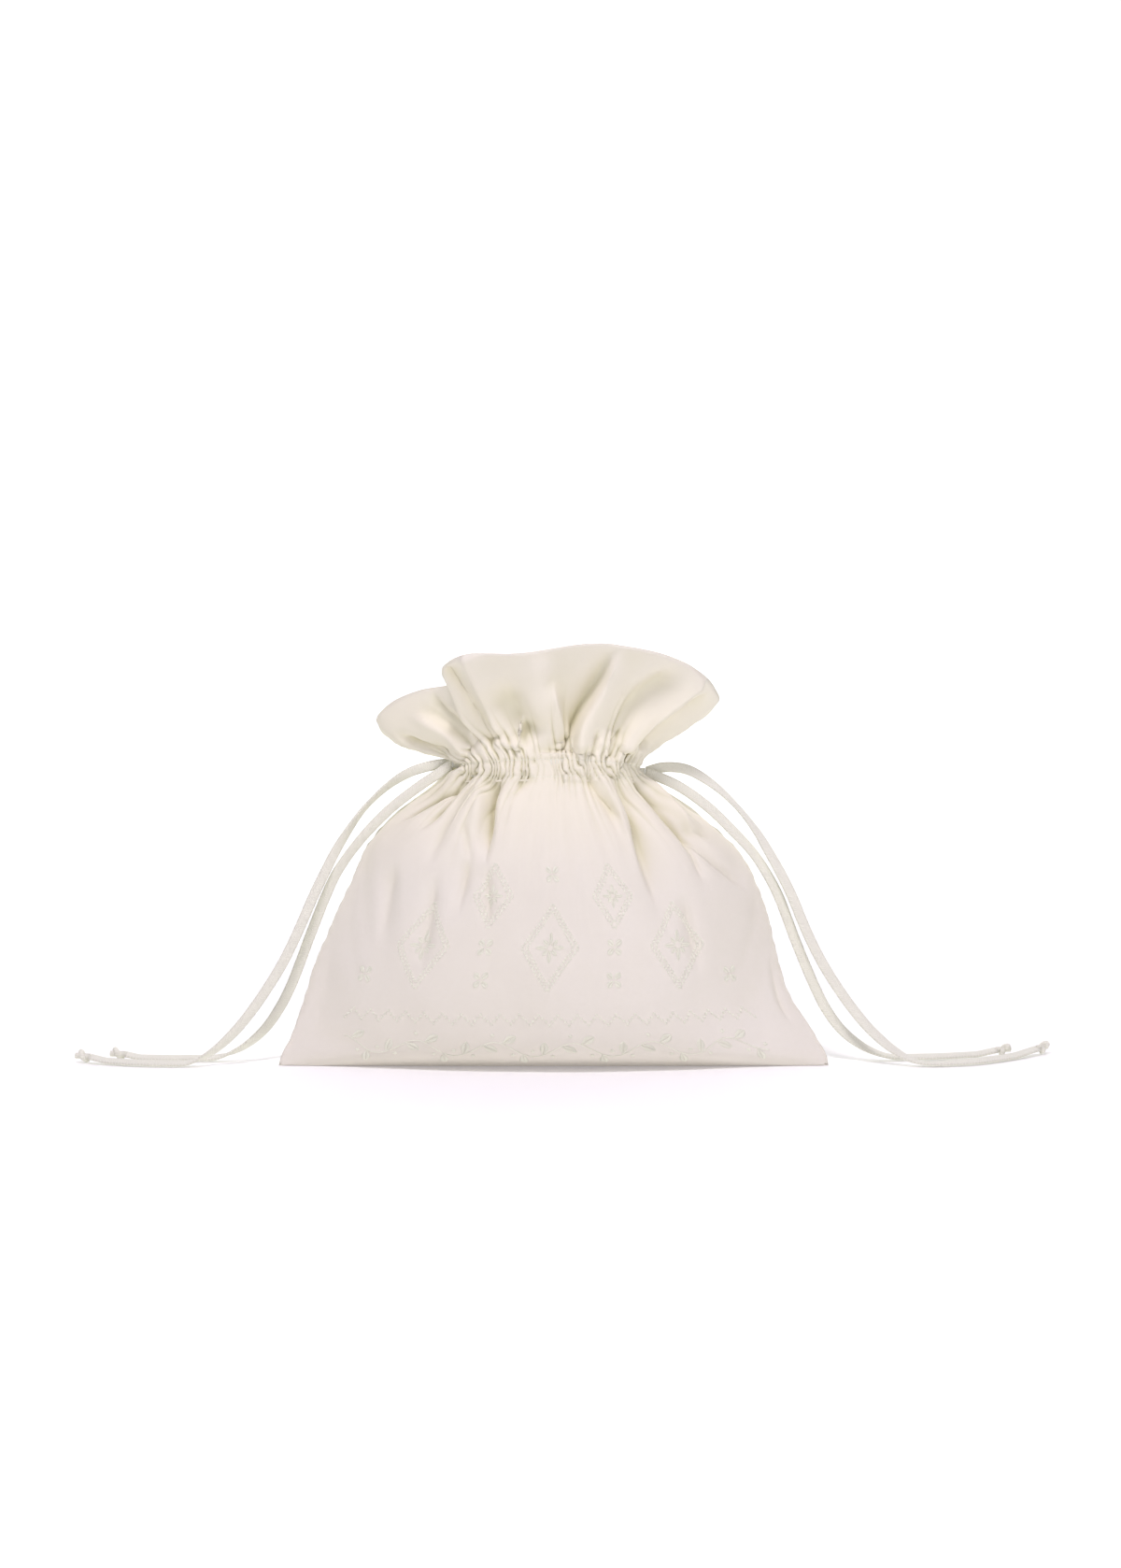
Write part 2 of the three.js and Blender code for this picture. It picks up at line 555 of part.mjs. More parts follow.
// The hidden stretch of a drawstring: in at its own eyelet, once round, and out again.
function loopSolid(hand) {
  const z = LOOP_HEIGHT[hand];
  const inward = hand === "left" ? 1 : -1;
  const start = hand === "left" ? 0 : 0.5;
  const { x: mouth } = CORDS[`${hand}_upper`][0];
  const run = 2.6; // straight stretch behind the eyelet
  const lane = (turn, depth) => ({
    middle: new THREE.Vector3(mouth + inward * (GAP + depth), turn * inward * (LANE + 0.1 * depth), z),
    away: new THREE.Vector3(-0.1 * inward * depth, turn * inward, 0).normalize(),
  });
  const plan = [lane(-1, 0), lane(-1, run)];
  for (let j = 2; j <= RING_STEPS - 2; j++) {
    const share = start + j / RING_STEPS;
    const middle = ringPoint(share % 1, LOOP_INSET, z);
    const along = ringPoint((share + 0.002) % 1, LOOP_INSET, z).sub(middle);
    plan.push({ middle, away: new THREE.Vector3(along.y, -along.x, 0).normalize() });
  }
  plan.push(lane(1, run), lane(1, 0));
  const rings = plan.map(({ middle, away }) => {
    const corner = (across, up) =>
      middle.clone()
        .addScaledVector(away, (across * LOOP_TAPE.thick) / 2)
        .setZ(middle.z + (up * LOOP_TAPE.width) / 2);
    return [corner(-1, -1), corner(-1, 1), corner(1, 1), corner(1, -1)];
  });
  return sweptSolid(rings, false);
}

// The rounded section of the flat tape, as shares of its half width and half thickness.
const TAPE_SECTION = [
  [1, 0], [0.78, -1], [0, -1], [-0.78, -1], [-1, 0], [-0.78, 1], [0, 1], [0.78, 1],
];

// A free end: the flat tape along its route, with its flat side turned as the route says.
function cordSolid(route) {
  const curve = new THREE.CatmullRomCurve3(
    route.map(({ x, y, z }) => new THREE.Vector3(x, y, z)),
    false,
    "centripetal",
  );
  const rings = [];
  for (let j = 0; j <= CORD_STEPS; j++) {
    const place = (j / CORD_STEPS) * (route.length - 1);
    const i = Math.min(Math.floor(place), route.length - 2);
    const face = THREE.MathUtils.degToRad(mix(route[i].face, route[i + 1].face, place - i));
    const middle = curve.getPoint(j / CORD_STEPS);
    const along = curve.getTangent(j / CORD_STEPS);
    if (j === 0) along.set(Math.sign(route[0].x), 0, 0);
    const near = new THREE.Vector3(0, -1, 0).projectOnPlane(along).normalize();
    const aside = along.clone().cross(near);
    const wide = aside.clone().multiplyScalar(Math.cos(face)).addScaledVector(near, Math.sin(face));
    const flat = near.clone().multiplyScalar(Math.cos(face)).addScaledVector(aside, -Math.sin(face));
    rings.push(
      TAPE_SECTION.map(([w, t]) =>
        middle.clone()
          .addScaledVector(wide, (w * TAPE_WIDTH) / 2)
          .addScaledVector(flat, (t * TAPE_THICK) / 2),
      ),
    );
  }
  return sweptSolid(rings, false);
}

// The stopper knot past the end of a route, turned along it.
function knotMesh(name, route) {
  const outline = KNOT_OUTLINE.map(({ along, radius }) => new THREE.Vector2(radius, along));
  const mesh = new THREE.Mesh(new THREE.LatheGeometry(outline, KNOT_SIDES), cordMaterial);
  const end = route[route.length - 1];
  const before = route[route.length - 2];
  const along = new THREE.Vector3(end.x - before.x, end.y - before.y, 0).normalize();
  mesh.quaternion.setFromUnitVectors(new THREE.Vector3(0, 1, 0), along);
  const widest = Math.max(...KNOT_OUTLINE.map(({ radius }) => radius));
  mesh.position.set(end.x, end.y, Math.max(end.z, widest + GAP)).addScaledVector(along, GAP);
  mesh.name = name;
  return mesh;
}

function named(name, geometry, material) {
  const mesh = new THREE.Mesh(geometry, material);
  mesh.name = name;
  return mesh;
}

const bag = new THREE.Group();
const panels = panelSolids();
bag.add(named("front_panel", panels[FRONT], clothMaterial));
bag.add(named("back_panel", panels[BACK], clothMaterial));
bag.add(named("casing", casingSolid(), clothMaterial));
for (const hand of ["left", "right"])
  bag.add(named(`drawstring_${hand}_loop`, loopSolid(hand), cordMaterial));
for (const [place, route] of Object.entries(CORDS)) {
  bag.add(named(`cord_${place}`, cordSolid(route), cordMaterial));
  bag.add(knotMesh(`knot_${place}`, route));
}

export default bag;
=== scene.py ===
"""Looks of a gathered cotton drawstring bag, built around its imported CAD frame.

The tables hold millimetres in the CAD frame and the meshes hold metres. +Z is up, and the front looks
towards -Y.
"""

import logging
import math
from collections.abc import Callable
from dataclasses import dataclass, field
from enum import Enum, IntEnum
from typing import NamedTuple

import bpy
import numpy as np
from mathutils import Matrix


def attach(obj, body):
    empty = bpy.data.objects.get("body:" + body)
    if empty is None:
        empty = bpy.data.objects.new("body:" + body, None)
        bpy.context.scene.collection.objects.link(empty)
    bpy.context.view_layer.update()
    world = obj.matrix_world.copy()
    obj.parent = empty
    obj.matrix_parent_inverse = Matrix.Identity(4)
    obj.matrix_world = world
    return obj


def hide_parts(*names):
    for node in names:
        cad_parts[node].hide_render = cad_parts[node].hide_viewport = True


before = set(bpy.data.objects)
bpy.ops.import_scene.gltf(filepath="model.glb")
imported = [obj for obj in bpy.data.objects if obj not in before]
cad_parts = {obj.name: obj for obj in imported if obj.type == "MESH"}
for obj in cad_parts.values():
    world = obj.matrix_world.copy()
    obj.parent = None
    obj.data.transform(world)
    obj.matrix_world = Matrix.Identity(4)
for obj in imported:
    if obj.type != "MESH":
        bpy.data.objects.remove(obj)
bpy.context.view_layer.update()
LOG = logging.getLogger("drawstring_bag")

Array = np.ndarray
Pair = tuple[float, float]
Triple = tuple[float, float, float]
Colour = Triple
Material = bpy.types.Material
Piece = bpy.types.Object

MM = 0.001
UP = np.array((0.0, 0.0, 1.0))
LEVEL = np.array((1.0, 1.0, 0.0))
TO_FRONT = np.array((0.0, -1.0, 0.0))
EYE = np.array((3.8, -1989.0, 362.0))
FOLD_PLANE = -40.0
WELD = 0.00001


class Side(Enum):
    """The two cloth panels, by the sign of Y that they look towards."""

    FRONT = -1
    BACK = 1


class Hand(Enum):
    """The two drawstrings, by the side where their ends come out."""

    LEFT = -1
    RIGHT = 1


class Column(IntEnum):
    """Columns of SECTIONS: the height, reaches from the origin, the side seam's y, lens and crown."""

    Z = 0
    LEFT = 1
    RIGHT = 2
    FRONT = 3
    BACK = 4
    SEAM = 5
    LENS = 6
    CROWN = 7


class Fold(NamedTuple):
    """A drawn fold along a path of x and z, as seen from the panel's own side.

    lift is its height, left and right how far it spreads to each side, and sharp is 2 for a soft roll
    and 1 for a crease. rise and fall are the shares of its length over which it begins and dies out.
    """

    lift: float
    left: float
    right: float
    sharp: float
    rise: float
    fall: float
    path: tuple[Pair, ...]


SECTIONS = np.array((
    (0, 150.2, 150.2, 18, 36, -14, 2, 0),
    (6, 148.4, 148.8, 31, 43.5, -12.6, 2, 0),
    (18, 142.4, 141.8, 41.5, 47.5, -9.4, 1.9, 0),
    (36, 136.4, 130, 47.5, 49.5, -4.7, 1.7, 0),
    (54, 130.8, 123.6, 49.5, 49.8, -1.2, 1.5, 0),
    (78, 120.6, 118, 49, 48.5, 0, 1.35, 0),
    (103, 109.2, 109, 46.5, 45.5, 0, 1.25, 0),
    (122, 100, 95.8, 42.5, 41.5, 0, 1.15, 0.5),
    (139, 83.5, 74.6, 37, 36, 0, 1.1, 1.5),
    (149.5, 67, 58.5, 31.5, 31, 0, 1.03, 2.5),
    (155.3, 55, 50, 28.5, 28.5, 0, 1, 3),
    (168.6, 54, 48.8, 28, 28, 0, 1, 3),
), float)
NECK = len(SECTIONS) - 1
CASING = NECK - 1
MID_CASING = CASING + 0.5
RIM_STATION = NECK + 1
CASING_FOOT, CASING_HEAD = SECTIONS[CASING:, Column.Z]

# The ruffle's rim: the place round the bag, x, y, z, and how the cloth cups and stands on its way there
RIM = np.array((
    (0, -97.4, 16, 187.5, 0.94, 0), (0.07, -88, 2, 198, 0.85, 0), (0.13, -73, -8, 205, 0.7, 0),
    (0.175, -57, -19, 209, 0.55, 0), (0.22, -60.5, -33, 215.5, 0.4, 0), (0.27, -54.5, -42, 224, 0.3, 0),
    (0.32, -44, -46, 228, 0.3, 0), (0.4, -25, -47, 227, 0.3, 0), (0.48, -6, -46, 229, 0.3, 0),
    (0.56, 14, -44, 231.8, 0.25, 0), (0.64, 34, -43.5, 231, 0.25, 0), (0.73, 55, -40, 227.8, 0.3, 0),
    (0.81, 71, -33, 221.6, 0.35, 0), (0.88, 82, -23, 213.6, 0.45, 0.15), (0.94, 87.8, -8, 206, 0.6, 0.35),
    (1, 90.8, 13, 198, 0.72, 0.5), (1.08, 79, 25, 202, 0.6, 0.35), (1.17, 64, 38, 204, 0.45, 0.1),
    (1.27, 49, 44, 208, 0.4, 0), (1.36, 34, 40, 211, 0.35, 0), (1.45, 18, 46, 208, 0.4, 0),
    (1.54, 0, 48.5, 205, 0.45, 0), (1.63, -17, 43, 209, 0.4, 0), (1.72, -33, 42, 211, 0.4, 0),
    (1.8, -49, 47, 206, 0.45, 0), (1.87, -66, 40, 200, 0.55, 0), (1.94, -85, 29, 192, 0.8, 0),
), float)

FRONT_FOLDS = (
    # Ruffle, from the neck towards the rim
    Fold(-4.6, 6, 2, 1.2, 0.1, 0.2, ((-39, 178), (-50, 189), (-60, 198), (-65, 206))),
    Fold(-6, 4.5, 5, 1.3, 0.1, 0.12, ((-31, 177), (-36, 184), (-43, 197), (-49, 208), (-58, 221))),
    Fold(3.6, 3, 7, 1.2, 0.15, 0.05, ((-30, 180), (-38, 204), (-43, 215), (-48, 227))),
    Fold(-7.5, 13, 8, 2, 0.3, 0.4, ((-8, 178), (-20, 191), (-26, 204), (-33, 213))),
    Fold(5, 4, 1.6, 1.1, 0.1, 0.5, ((-19, 175), (-18, 184), (-17, 194))),
    Fold(3.2, 8, 7, 2, 0.3, 0.25, ((-8, 184), (-8, 212), (-7, 230))),
    Fold(5, 6, 1.8, 1.1, 0.15, 0.35, ((8, 180), (2, 200), (0, 213))),
    Fold(-10.5, 9, 2, 1.25, 0.05, 0.5, ((7, 172), (8, 179), (14, 194), (21, 205), (26, 215), (30, 230))),
    Fold(5.6, 2.2, 9, 1.4, 0.1, 0.3, ((14, 174), (14, 185), (19, 197), (27, 211), (37, 230))),
    Fold(-3.8, 1.8, 1.8, 1.4, 0.1, 0.5, ((11, 172), (12, 180), (13, 188))),
    Fold(-4.4, 2, 2.4, 1.4, 0.1, 0.5, ((20, 171), (21, 179), (24, 188))),
    Fold(-4.4, 2.2, 2.7, 1.4, 0.1, 0.5, ((29, 170), (30, 178), (38, 186))),
    Fold(-2, 1.8, 2, 1.4, 0.1, 0.5, ((38, 168), (40, 173), (43, 177))),
    Fold(-6.4, 6, 8, 1.8, 0.2, 0.25, ((30, 178), (35, 190), (42, 200), (52, 209), (66, 219))),
    Fold(6.4, 8, 1.8, 1.1, 0.08, 0.1, ((39, 174), (47, 185), (56, 194), (66, 202), (81, 214))),
    Fold(-8, 2, 7, 1.25, 0.15, 0.2, ((46, 175), (55, 185), (66, 194), (83, 206))),
    Fold(2, 1.5, 1.5, 1.5, 0.3, 0.3, ((-31, 180), (-20, 177))),
    Fold(2, 1.5, 1.5, 1.5, 0.3, 0.3, ((0, 175), (8, 180))),
    Fold(4, 5, 3, 1.4, 0.1, 0.35, ((-46, 172), (-53, 181), (-63, 188), (-80, 195))),
    Fold(-3.4, 3, 3, 1.3, 0.1, 0.35, ((-44, 173), (-50, 182), (-60, 191), (-72, 199))),
    Fold(-6.5, 3, 2.6, 1.3, 0.25, 0.3, ((-54, 174), (-62, 175), (-72, 178), (-84, 184))),
    # Left shoulder, from the casing down
    Fold(3.2, 2.4, 1.6, 1.3, 0.25, 0.35, ((-44, 167), (-56, 160), (-68, 154), (-84, 143))),
    Fold(-6.4, 1.7, 1.6, 1.15, 0.25, 0.3,
         ((-41, 165), (-50, 158), (-58, 154), (-66, 150), (-75, 144), (-85, 137))),
    Fold(-5, 4, 1.8, 1.2, 0.4, 0.4, ((-41, 165), (-50, 157), (-58, 149), (-66, 141), (-75, 132))),
    Fold(2.4, 2, 4, 1.4, 0.35, 0.5, ((-37, 162), (-48, 148), (-56, 138), (-62, 128))),
    Fold(-11.5, 6, 1.8, 1.2, 0.3, 0.45,
         ((-26, 165), (-29, 158), (-33, 151), (-34, 143), (-35, 129), (-37, 113))),
    Fold(4.4, 5, 4, 1.7, 0.35, 0.5, ((-39, 162), (-40, 150), (-42, 128))),
    Fold(-2, 2, 1.6, 1.2, 0.3, 0.5, ((-49, 141), (-47, 128), (-44, 112))),
    Fold(-3.8, 5, 3, 1.4, 0.3, 0.6, ((-46, 120), (-52, 84))),
    Fold(-4, 5, 4, 1.6, 0.3, 0.5, ((-37, 116), (-34, 75))),
    Fold(-3.8, 7, 6, 1.6, 0.3, 0.5, ((-86, 120), (-96, 60))),
    Fold(-3.4, 6, 4, 1.6, 0.3, 0.5, ((-64, 112), (-72, 52))),
    # Middle
    Fold(-2.2, 2, 3, 1.2, 0.1, 0.5, ((-12, 163), (-20, 153), (-30, 149))),
    Fold(-2.4, 1.6, 1.6, 1.3, 0.1, 0.5, ((-16, 164), (-18, 158), (-21, 153))),
    Fold(1.6, 1.5, 1.5, 1.4, 0.3, 0.3, ((1, 162), (17, 159))),
    # Right shoulder
    Fold(-6, 4, 1.6, 1.2, 0.25, 0.35, ((15, 165), (26, 153), (34, 144), (41, 134))),
    Fold(4.6, 1.8, 3, 1.4, 0.25, 0.5, ((22, 164), (32, 150), (37, 141), (43, 126))),
    Fold(-8.4, 2, 8, 1.3, 0.25, 0.45, ((29, 164), (40, 148), (45, 137), (49, 120), (58, 88))),
    Fold(-7.4, 3, 2, 1.15, 0.22, 0.35, ((41, 164), (53, 152), (63, 141), (71, 132), (77, 119))),
    Fold(4.6, 2.5, 7, 1.6, 0.25, 0.4, ((45, 164), (60, 150), (72, 138), (88, 124))),
    Fold(-4.2, 2, 6, 1.2, 0.15, 0.3, ((66, 137), (76, 126), (92, 111), (108, 99))),
    Fold(-4, 3, 3, 1.5, 0.3, 0.4, ((70, 136), (86, 129))),
    Fold(-3, 3, 2, 1.3, 0.2, 0.45, ((72, 130), (78, 118), (81, 104))),
    Fold(-3.8, 6, 4, 1.6, 0.3, 0.5, ((70, 100), (80, 50))),
    # Lower corners
    Fold(-2.6, 2, 4, 1.3, 0.3, 0.4, ((117, 62), (120, 48), (123, 38), (130, 26))),
    Fold(-1.8, 4, 4, 1.5, 0.3, 0.3, ((-134, 34), (-146, 6))),
)

BACK_FOLDS = (
    # Ruffle
    Fold(-5.1, 6, 4, 1.6, 0.1, 0.3, ((-38, 170), (-41, 190), (-46, 207))),
    Fold(4.1, 5, 6, 1.7, 0.2, 0.2, ((-26, 172), (-26, 190), (-30, 210))),
    Fold(-6.0, 5, 6, 1.5, 0.1, 0.3, ((-15, 170), (-14, 188), (-12, 206))),
    Fold(3.4, 6, 6, 1.8, 0.2, 0.2, ((2, 172), (4, 204))),
    Fold(-6.0, 4, 6, 1.4, 0.1, 0.3, ((18, 170), (19, 188), (22, 208))),
    Fold(4.1, 4, 6, 1.6, 0.1, 0.2, ((30, 171), (33, 190), (38, 210))),
    Fold(-4.1, 3, 4, 1.4, 0.1, 0.4, ((40, 170), (48, 184), (60, 200))),
    # Shoulders and body
    Fold(-6.1, 3, 6, 1.4, 0.08, 0.55, ((30, 161), (33, 150), (39, 126), (46, 96))),
    Fold(5.1, 5, 4, 1.7, 0.1, 0.5, ((15, 161), (17, 146), (21, 108))),
    Fold(-5.8, 5, 3, 1.3, 0.08, 0.5, ((-11, 161), (-14, 148), (-21, 106))),
    Fold(4.4, 5, 5, 1.8, 0.1, 0.5, ((-25, 160), (-32, 140), (-49, 98))),
    Fold(-5.8, 5, 3, 1.4, 0.08, 0.5, ((-33, 160), (-44, 140), (-70, 88))),
    Fold(-4.4, 2.5, 2.5, 1.2, 0.1, 0.4, ((-47, 157), (-62, 149), (-86, 130))),
    Fold(3.7, 4, 4, 1.5, 0.1, 0.4, ((-49, 160), (-70, 150), (-92, 132))),
    Fold(-4.8, 2.5, 3, 1.3, 0.1, 0.4, ((44, 158), (58, 146), (84, 120))),
    Fold(3.7, 4, 6, 1.6, 0.1, 0.4, ((49, 160), (64, 149), (92, 122))),
    Fold(-2.4, 7, 6, 2, 0.3, 0.5, ((4, 116), (8, 62))),
    Fold(-2.7, 6, 6, 2, 0.3, 0.4, ((96, 96), (112, 52))),
    Fold(-2.4, 6, 6, 2, 0.3, 0.4, ((-98, 92), (-116, 44))),
)

# Each cord's route: x, y, z, and the turn of the tape's flat side in degrees
CORD_ROUTES = {
    "left_upper": (
        (-55.3, 1.3, 164.2, 0), (-65, 1.2, 163.2, 0), (-77.8, 0.1, 159.6, 15), (-89.6, -1.2, 152.6, 45),
        (-102.7, -2.4, 140.4, 62), (-111.7, -3.6, 128.3, 45), (-119.2, -5, 116.1, 22),
        (-125.4, -6.3, 103.9, 8), (-131.2, -7.6, 91.8, 0), (-136.5, -8.8, 79.6, 0), (-142, -10, 67.4, 0),
        (-148.2, -11.2, 55.2, 0), (-155.6, -12.4, 43.1, 4), (-164, -13.6, 30.9, 8), (-174, -15, 18.7, 20),
        (-186, -16.4, 8, 48), (-197.5, -17.6, 2.4, 80), (-209.5, -18, 1.3, 90), (-225.5, -16.6, 1.3, 90),
        (-241, -12, 1.4, 78), (-254, -7.6, 3.4, 60),
    ),
    "left_lower": (
        (-55.3, -1.3, 164.2, 0), (-62, -2.4, 159.4, 0), (-72.4, -3.4, 152.6, 3), (-87.8, -4, 140.8, 6),
        (-100.4, -3.8, 128.4, 14), (-110.8, -3.2, 115.9, 24), (-119, -2.7, 103.5, 16),
        (-124.8, -2.4, 91.1, 6), (-129.8, -2, 78.7, 0), (-134.6, -1.8, 66.4, 0), (-139.2, -1.6, 54, 0),
        (-144.2, -1.5, 41.6, 3), (-150.6, -1.4, 29.2, 8), (-159.6, -1.4, 16.8, 24), (-172, -1.5, 7, 56),
        (-185, -1.8, 2.2, 84), (-198, -2.2, 1.3, 90), (-212, -2.2, 1.3, 90), (-225, -1, 1.5, 80),
        (-235.4, 0.2, 3.4, 60),
    ),
    "right_upper": (
        (50.2, 1.3, 159.4, 0), (59.4, 1.4, 161.9, 0), (72.6, 0.4, 160.9, 12), (86.9, -0.9, 152.8, 45),
        (100.4, -2, 140.4, 66), (110.1, -3.1, 128.2, 50), (117.6, -4.2, 116, 24), (124.4, -5.3, 103.8, 8),
        (130.4, -6.4, 91.6, 0), (135.4, -7.4, 79.4, 0), (140.8, -8.5, 67.2, 0), (147.2, -9.6, 55, 0),
        (154.8, -10.7, 42.8, 4), (163.5, -11.8, 30.6, 8), (174, -12.9, 18.4, 20), (186.5, -14.6, 8, 48),
        (198, -16.2, 2.4, 80), (210, -16.8, 1.3, 90), (229, -12.6, 1.3, 90), (249.5, 0.6, 1.5, 80),
        (268.5, 19, 3.2, 62),
    ),
    "right_lower": (
        (50.2, -1.3, 159.4, 0), (57.4, -2.4, 157, 0), (69, -3.2, 151.6, 3), (84.6, -3.2, 140.4, 8),
        (97.4, -2.8, 128, 16), (108.8, -2, 115.6, 26), (117, -1.4, 103.2, 18), (123.4, -0.9, 90.8, 6),
        (128.2, -0.6, 78.4, 0), (132.9, -0.4, 66, 0), (138, -0.3, 53.6, 0), (143.4, -0.2, 41.1, 3),
        (149.8, -0.1, 28.6, 8), (159.2, 0, 16.2, 24), (172, 0.2, 6.8, 56), (185, 0.6, 2.2, 84),
        (198, 1.4, 1.3, 90), (214, 3.6, 1.3, 90), (230.5, 8, 1.5, 80), (245, 13.2, 3.4, 60),
    ),
}


def unit(vectors: Array) -> Array:
    """The same directions with length 1, along the last axis."""
    return vectors / np.maximum(np.linalg.norm(vectors, axis=-1, keepdims=True), 1e-12)


def smoothstep(low: float, high: float, value: Array) -> Array:
    """A smooth rise from 0 at low to 1 at high."""
    share = np.clip((value - low) / (high - low), 0, 1)
    return share * share * (3 - 2 * share)


def within(rise: Pair, fall: Pair, value: Array) -> Array:
    """A smooth rise from 0 to 1 between two limits, and a smooth fall back between two others."""
    return smoothstep(*rise, value) * (1 - smoothstep(*fall, value))


def hump(away: Array, width: Array | float, power: float = 2) -> Array:
    """A hump of height 1 at away 0 that falls off over a width, the squarer the higher the power."""
    return np.exp(-((away / width) ** power))


def relax(table: Array, passes: int, axes: tuple[int, ...] = (1, 0)) -> None:
    """Evens out a table in place by means of neighbours along its axes, with its ends held."""
    for _ in range(passes):
        for axis in axes:
            rows = np.moveaxis(table, axis, 0)
            rows[1:-1] = (rows[:-2] + 2 * rows[1:-1] + rows[2:]) / 4


def through_rows(rows: Array, place: Array, closed: bool = False) -> Array:
    """A smooth curve through the rows of a table.

    Args:
        rows: the table, one row a point.
        place: where to read it, in rows, of any shape.
        closed: the last row joins the first one.

    Returns:
        The values, with one more axis than place.
    """
    count = len(rows)
    first = np.floor(place).astype(int)
    first = first if closed else np.clip(first, 0, count - 2)
    share = (place - first)[..., None]
    index = [first + step for step in (-1, 0, 1, 2)]
    index = [i % count if closed else np.clip(i, 0, count - 1) for i in index]
    before, start, end, after = (rows[i] for i in index)
    return 0.5 * (
        2 * start
        + (end - before) * share
        + (2 * before - 5 * start + 4 * end - after) * share**2
        + (3 * start - before - 3 * end + after) * share**3
    )


def arc_lengths(points: Array) -> Array:
    """The length along a line of points up to each of them."""
    steps = np.linalg.norm(np.diff(points, axis=0), axis=1)
    return np.concatenate(([0.0], np.cumsum(steps)))


def flat_places(u: Array, v: Array) -> Array:
    """Places on a piece's flat map, from two tables that are spread to one shape."""
    return np.stack(np.broadcast_arrays(u, v), axis=-1)


def grid_faces(rows: int, columns: int) -> list[tuple[int, ...]]:
    """The four-sided faces of a grid of points."""
    starts = (j * columns + i for j in range(rows - 1) for i in range(columns - 1))
    return [(a, a + 1, a + 1 + columns, a + columns) for a in starts]


def add_object(name: str, data: bpy.types.ID) -> Piece:
    """Makes an object in the scene."""
    made = bpy.data.objects.new(name, data)
    bpy.context.scene.collection.objects.link(made)
    return made


def only(piece: Piece) -> None:
    """Makes a piece the only selected and active one."""
    bpy.ops.object.select_all(action="DESELECT")
    piece.select_set(True)
    bpy.context.view_layer.objects.active = piece


def math_method(operation: str, swapped: bool = False) -> Callable[..., "Sock"]:
    """A method of Sock that adds a Math node.

    Args:
        operation: what the node does.
        swapped: the other value comes first.

    Returns:
        The method, which takes the other values that the node needs.
    """

    def method(value: "Sock", *others: "Sock | float") -> "Sock":
        """Adds the node and returns its result."""
        values = (*others, value) if swapped else (value, *others)
        return value.graph.add("ShaderNodeMath", {"operation": operation}, dict(enumerate(values)))

    return method


class Sock:
    """A shader value. Arithmetic on it adds Math nodes to its graph."""

    __add__, __radd__ = math_method("ADD"), math_method("ADD", swapped=True)
    __sub__, __rsub__ = math_method("SUBTRACT"), math_method("SUBTRACT", swapped=True)
    __mul__ = math_method("MULTIPLY")
    sine, size, larger = math_method("SINE"), math_method("ABSOLUTE"), math_method("MAXIMUM")

    def __init__(self, graph: "Graph", socket: bpy.types.NodeSocket) -> None:
        """Wraps a socket of a graph."""
        self.graph = graph
        self.socket = socket

    def ramp(self, low: float, high: float) -> "Sock":
        """A smooth rise from 0 at low to 1 at high."""
        settings = {"interpolation_type": "SMOOTHSTEP"}
        sockets = {"Value": self, "From Min": low, "From Max": high}
        return self.graph.add("ShaderNodeMapRange", settings, sockets)


class Graph:
    """The node tree of one material."""

    def __init__(self, name: str) -> None:
        """Starts a material with only its surface node."""
        self.material = bpy.data.materials.new(name)
        self.material.use_nodes = True
        self.tree = self.material.node_tree
        self.surface = self.tree.nodes["Principled BSDF"]

    def add(self, kind: str, settings: dict, sockets: dict, output: str | int = 0) -> Sock:
        """Adds a node.

        Args:
            kind: the node's type.
            settings: its properties, set first.
            sockets: values or links of its inputs, by name or number.
            output: the output that is returned.

        Returns:
            That output, wrapped.
        """
        node = self.tree.nodes.new(kind)
        for name, value in settings.items():
            setattr(node, name, value)
        for name, value in sockets.items():
            self.feed(node.inputs[name], value)
        return Sock(self, node.outputs[output])

    def feed(self, target: bpy.types.NodeSocket, value: Sock | float | tuple) -> None:
        """Links a value to a socket, or sets it there."""
        if isinstance(value, Sock):
            self.tree.links.new(value.socket, target)
        else:
            target.default_value = value

    def finish(self, **sockets: Sock | float | tuple) -> Material:
        """Feeds the surface node, with underscores for the blanks in its sockets' names."""
        for name, value in sockets.items():
            self.feed(self.surface.inputs[name.replace("_", " ")], value)
        return self.material

    def flat_map(self) -> tuple[Sock, Sock]:
        """The two values of a piece's flat map."""
        place = self.add("ShaderNodeUVMap", {"uv_map": "flat"}, {}, "UV")
        across = self.add("ShaderNodeSeparateXYZ", {}, {0: place}, 0)
        return across, Sock(self, across.socket.node.outputs[1])

    def place(self) -> Sock:
        """A place in the object's own coordinates."""
        return self.add("ShaderNodeTexCoord", {}, {}, "Object")

    def axis(self, number: int) -> Sock:
        """A place's x, y or z in the object's own coordinates."""
        return self.add("ShaderNodeSeparateXYZ", {}, {0: self.place()}, number)

    def noise(self, scale: float, detail: float, rough: float = 0.5) -> Sock:
        """Soft noise in the object's own coordinates."""
        sockets = {"Vector": self.place(), "Scale": scale, "Detail": detail, "Roughness": rough}
        return self.add("ShaderNodeTexNoise", {}, sockets, 0)

    def blend(self, share: Sock, start: Sock | tuple, end: Sock | tuple) -> Sock:
        """A colour between two, by a share."""
        start, end = (c if isinstance(c, Sock) else (*c, 1) for c in (start, end))
        return self.add("ShaderNodeMix", {"data_type": "RGBA"}, {0: share, 6: start, 7: end}, 2)

    def bump(self, height: Sock, distance: float, strength: float) -> Sock:
        """A normal from a height."""
        sockets = {"Height": height, "Distance": distance, "Strength": strength}
        return self.add("ShaderNodeBump", {}, sockets, 0)


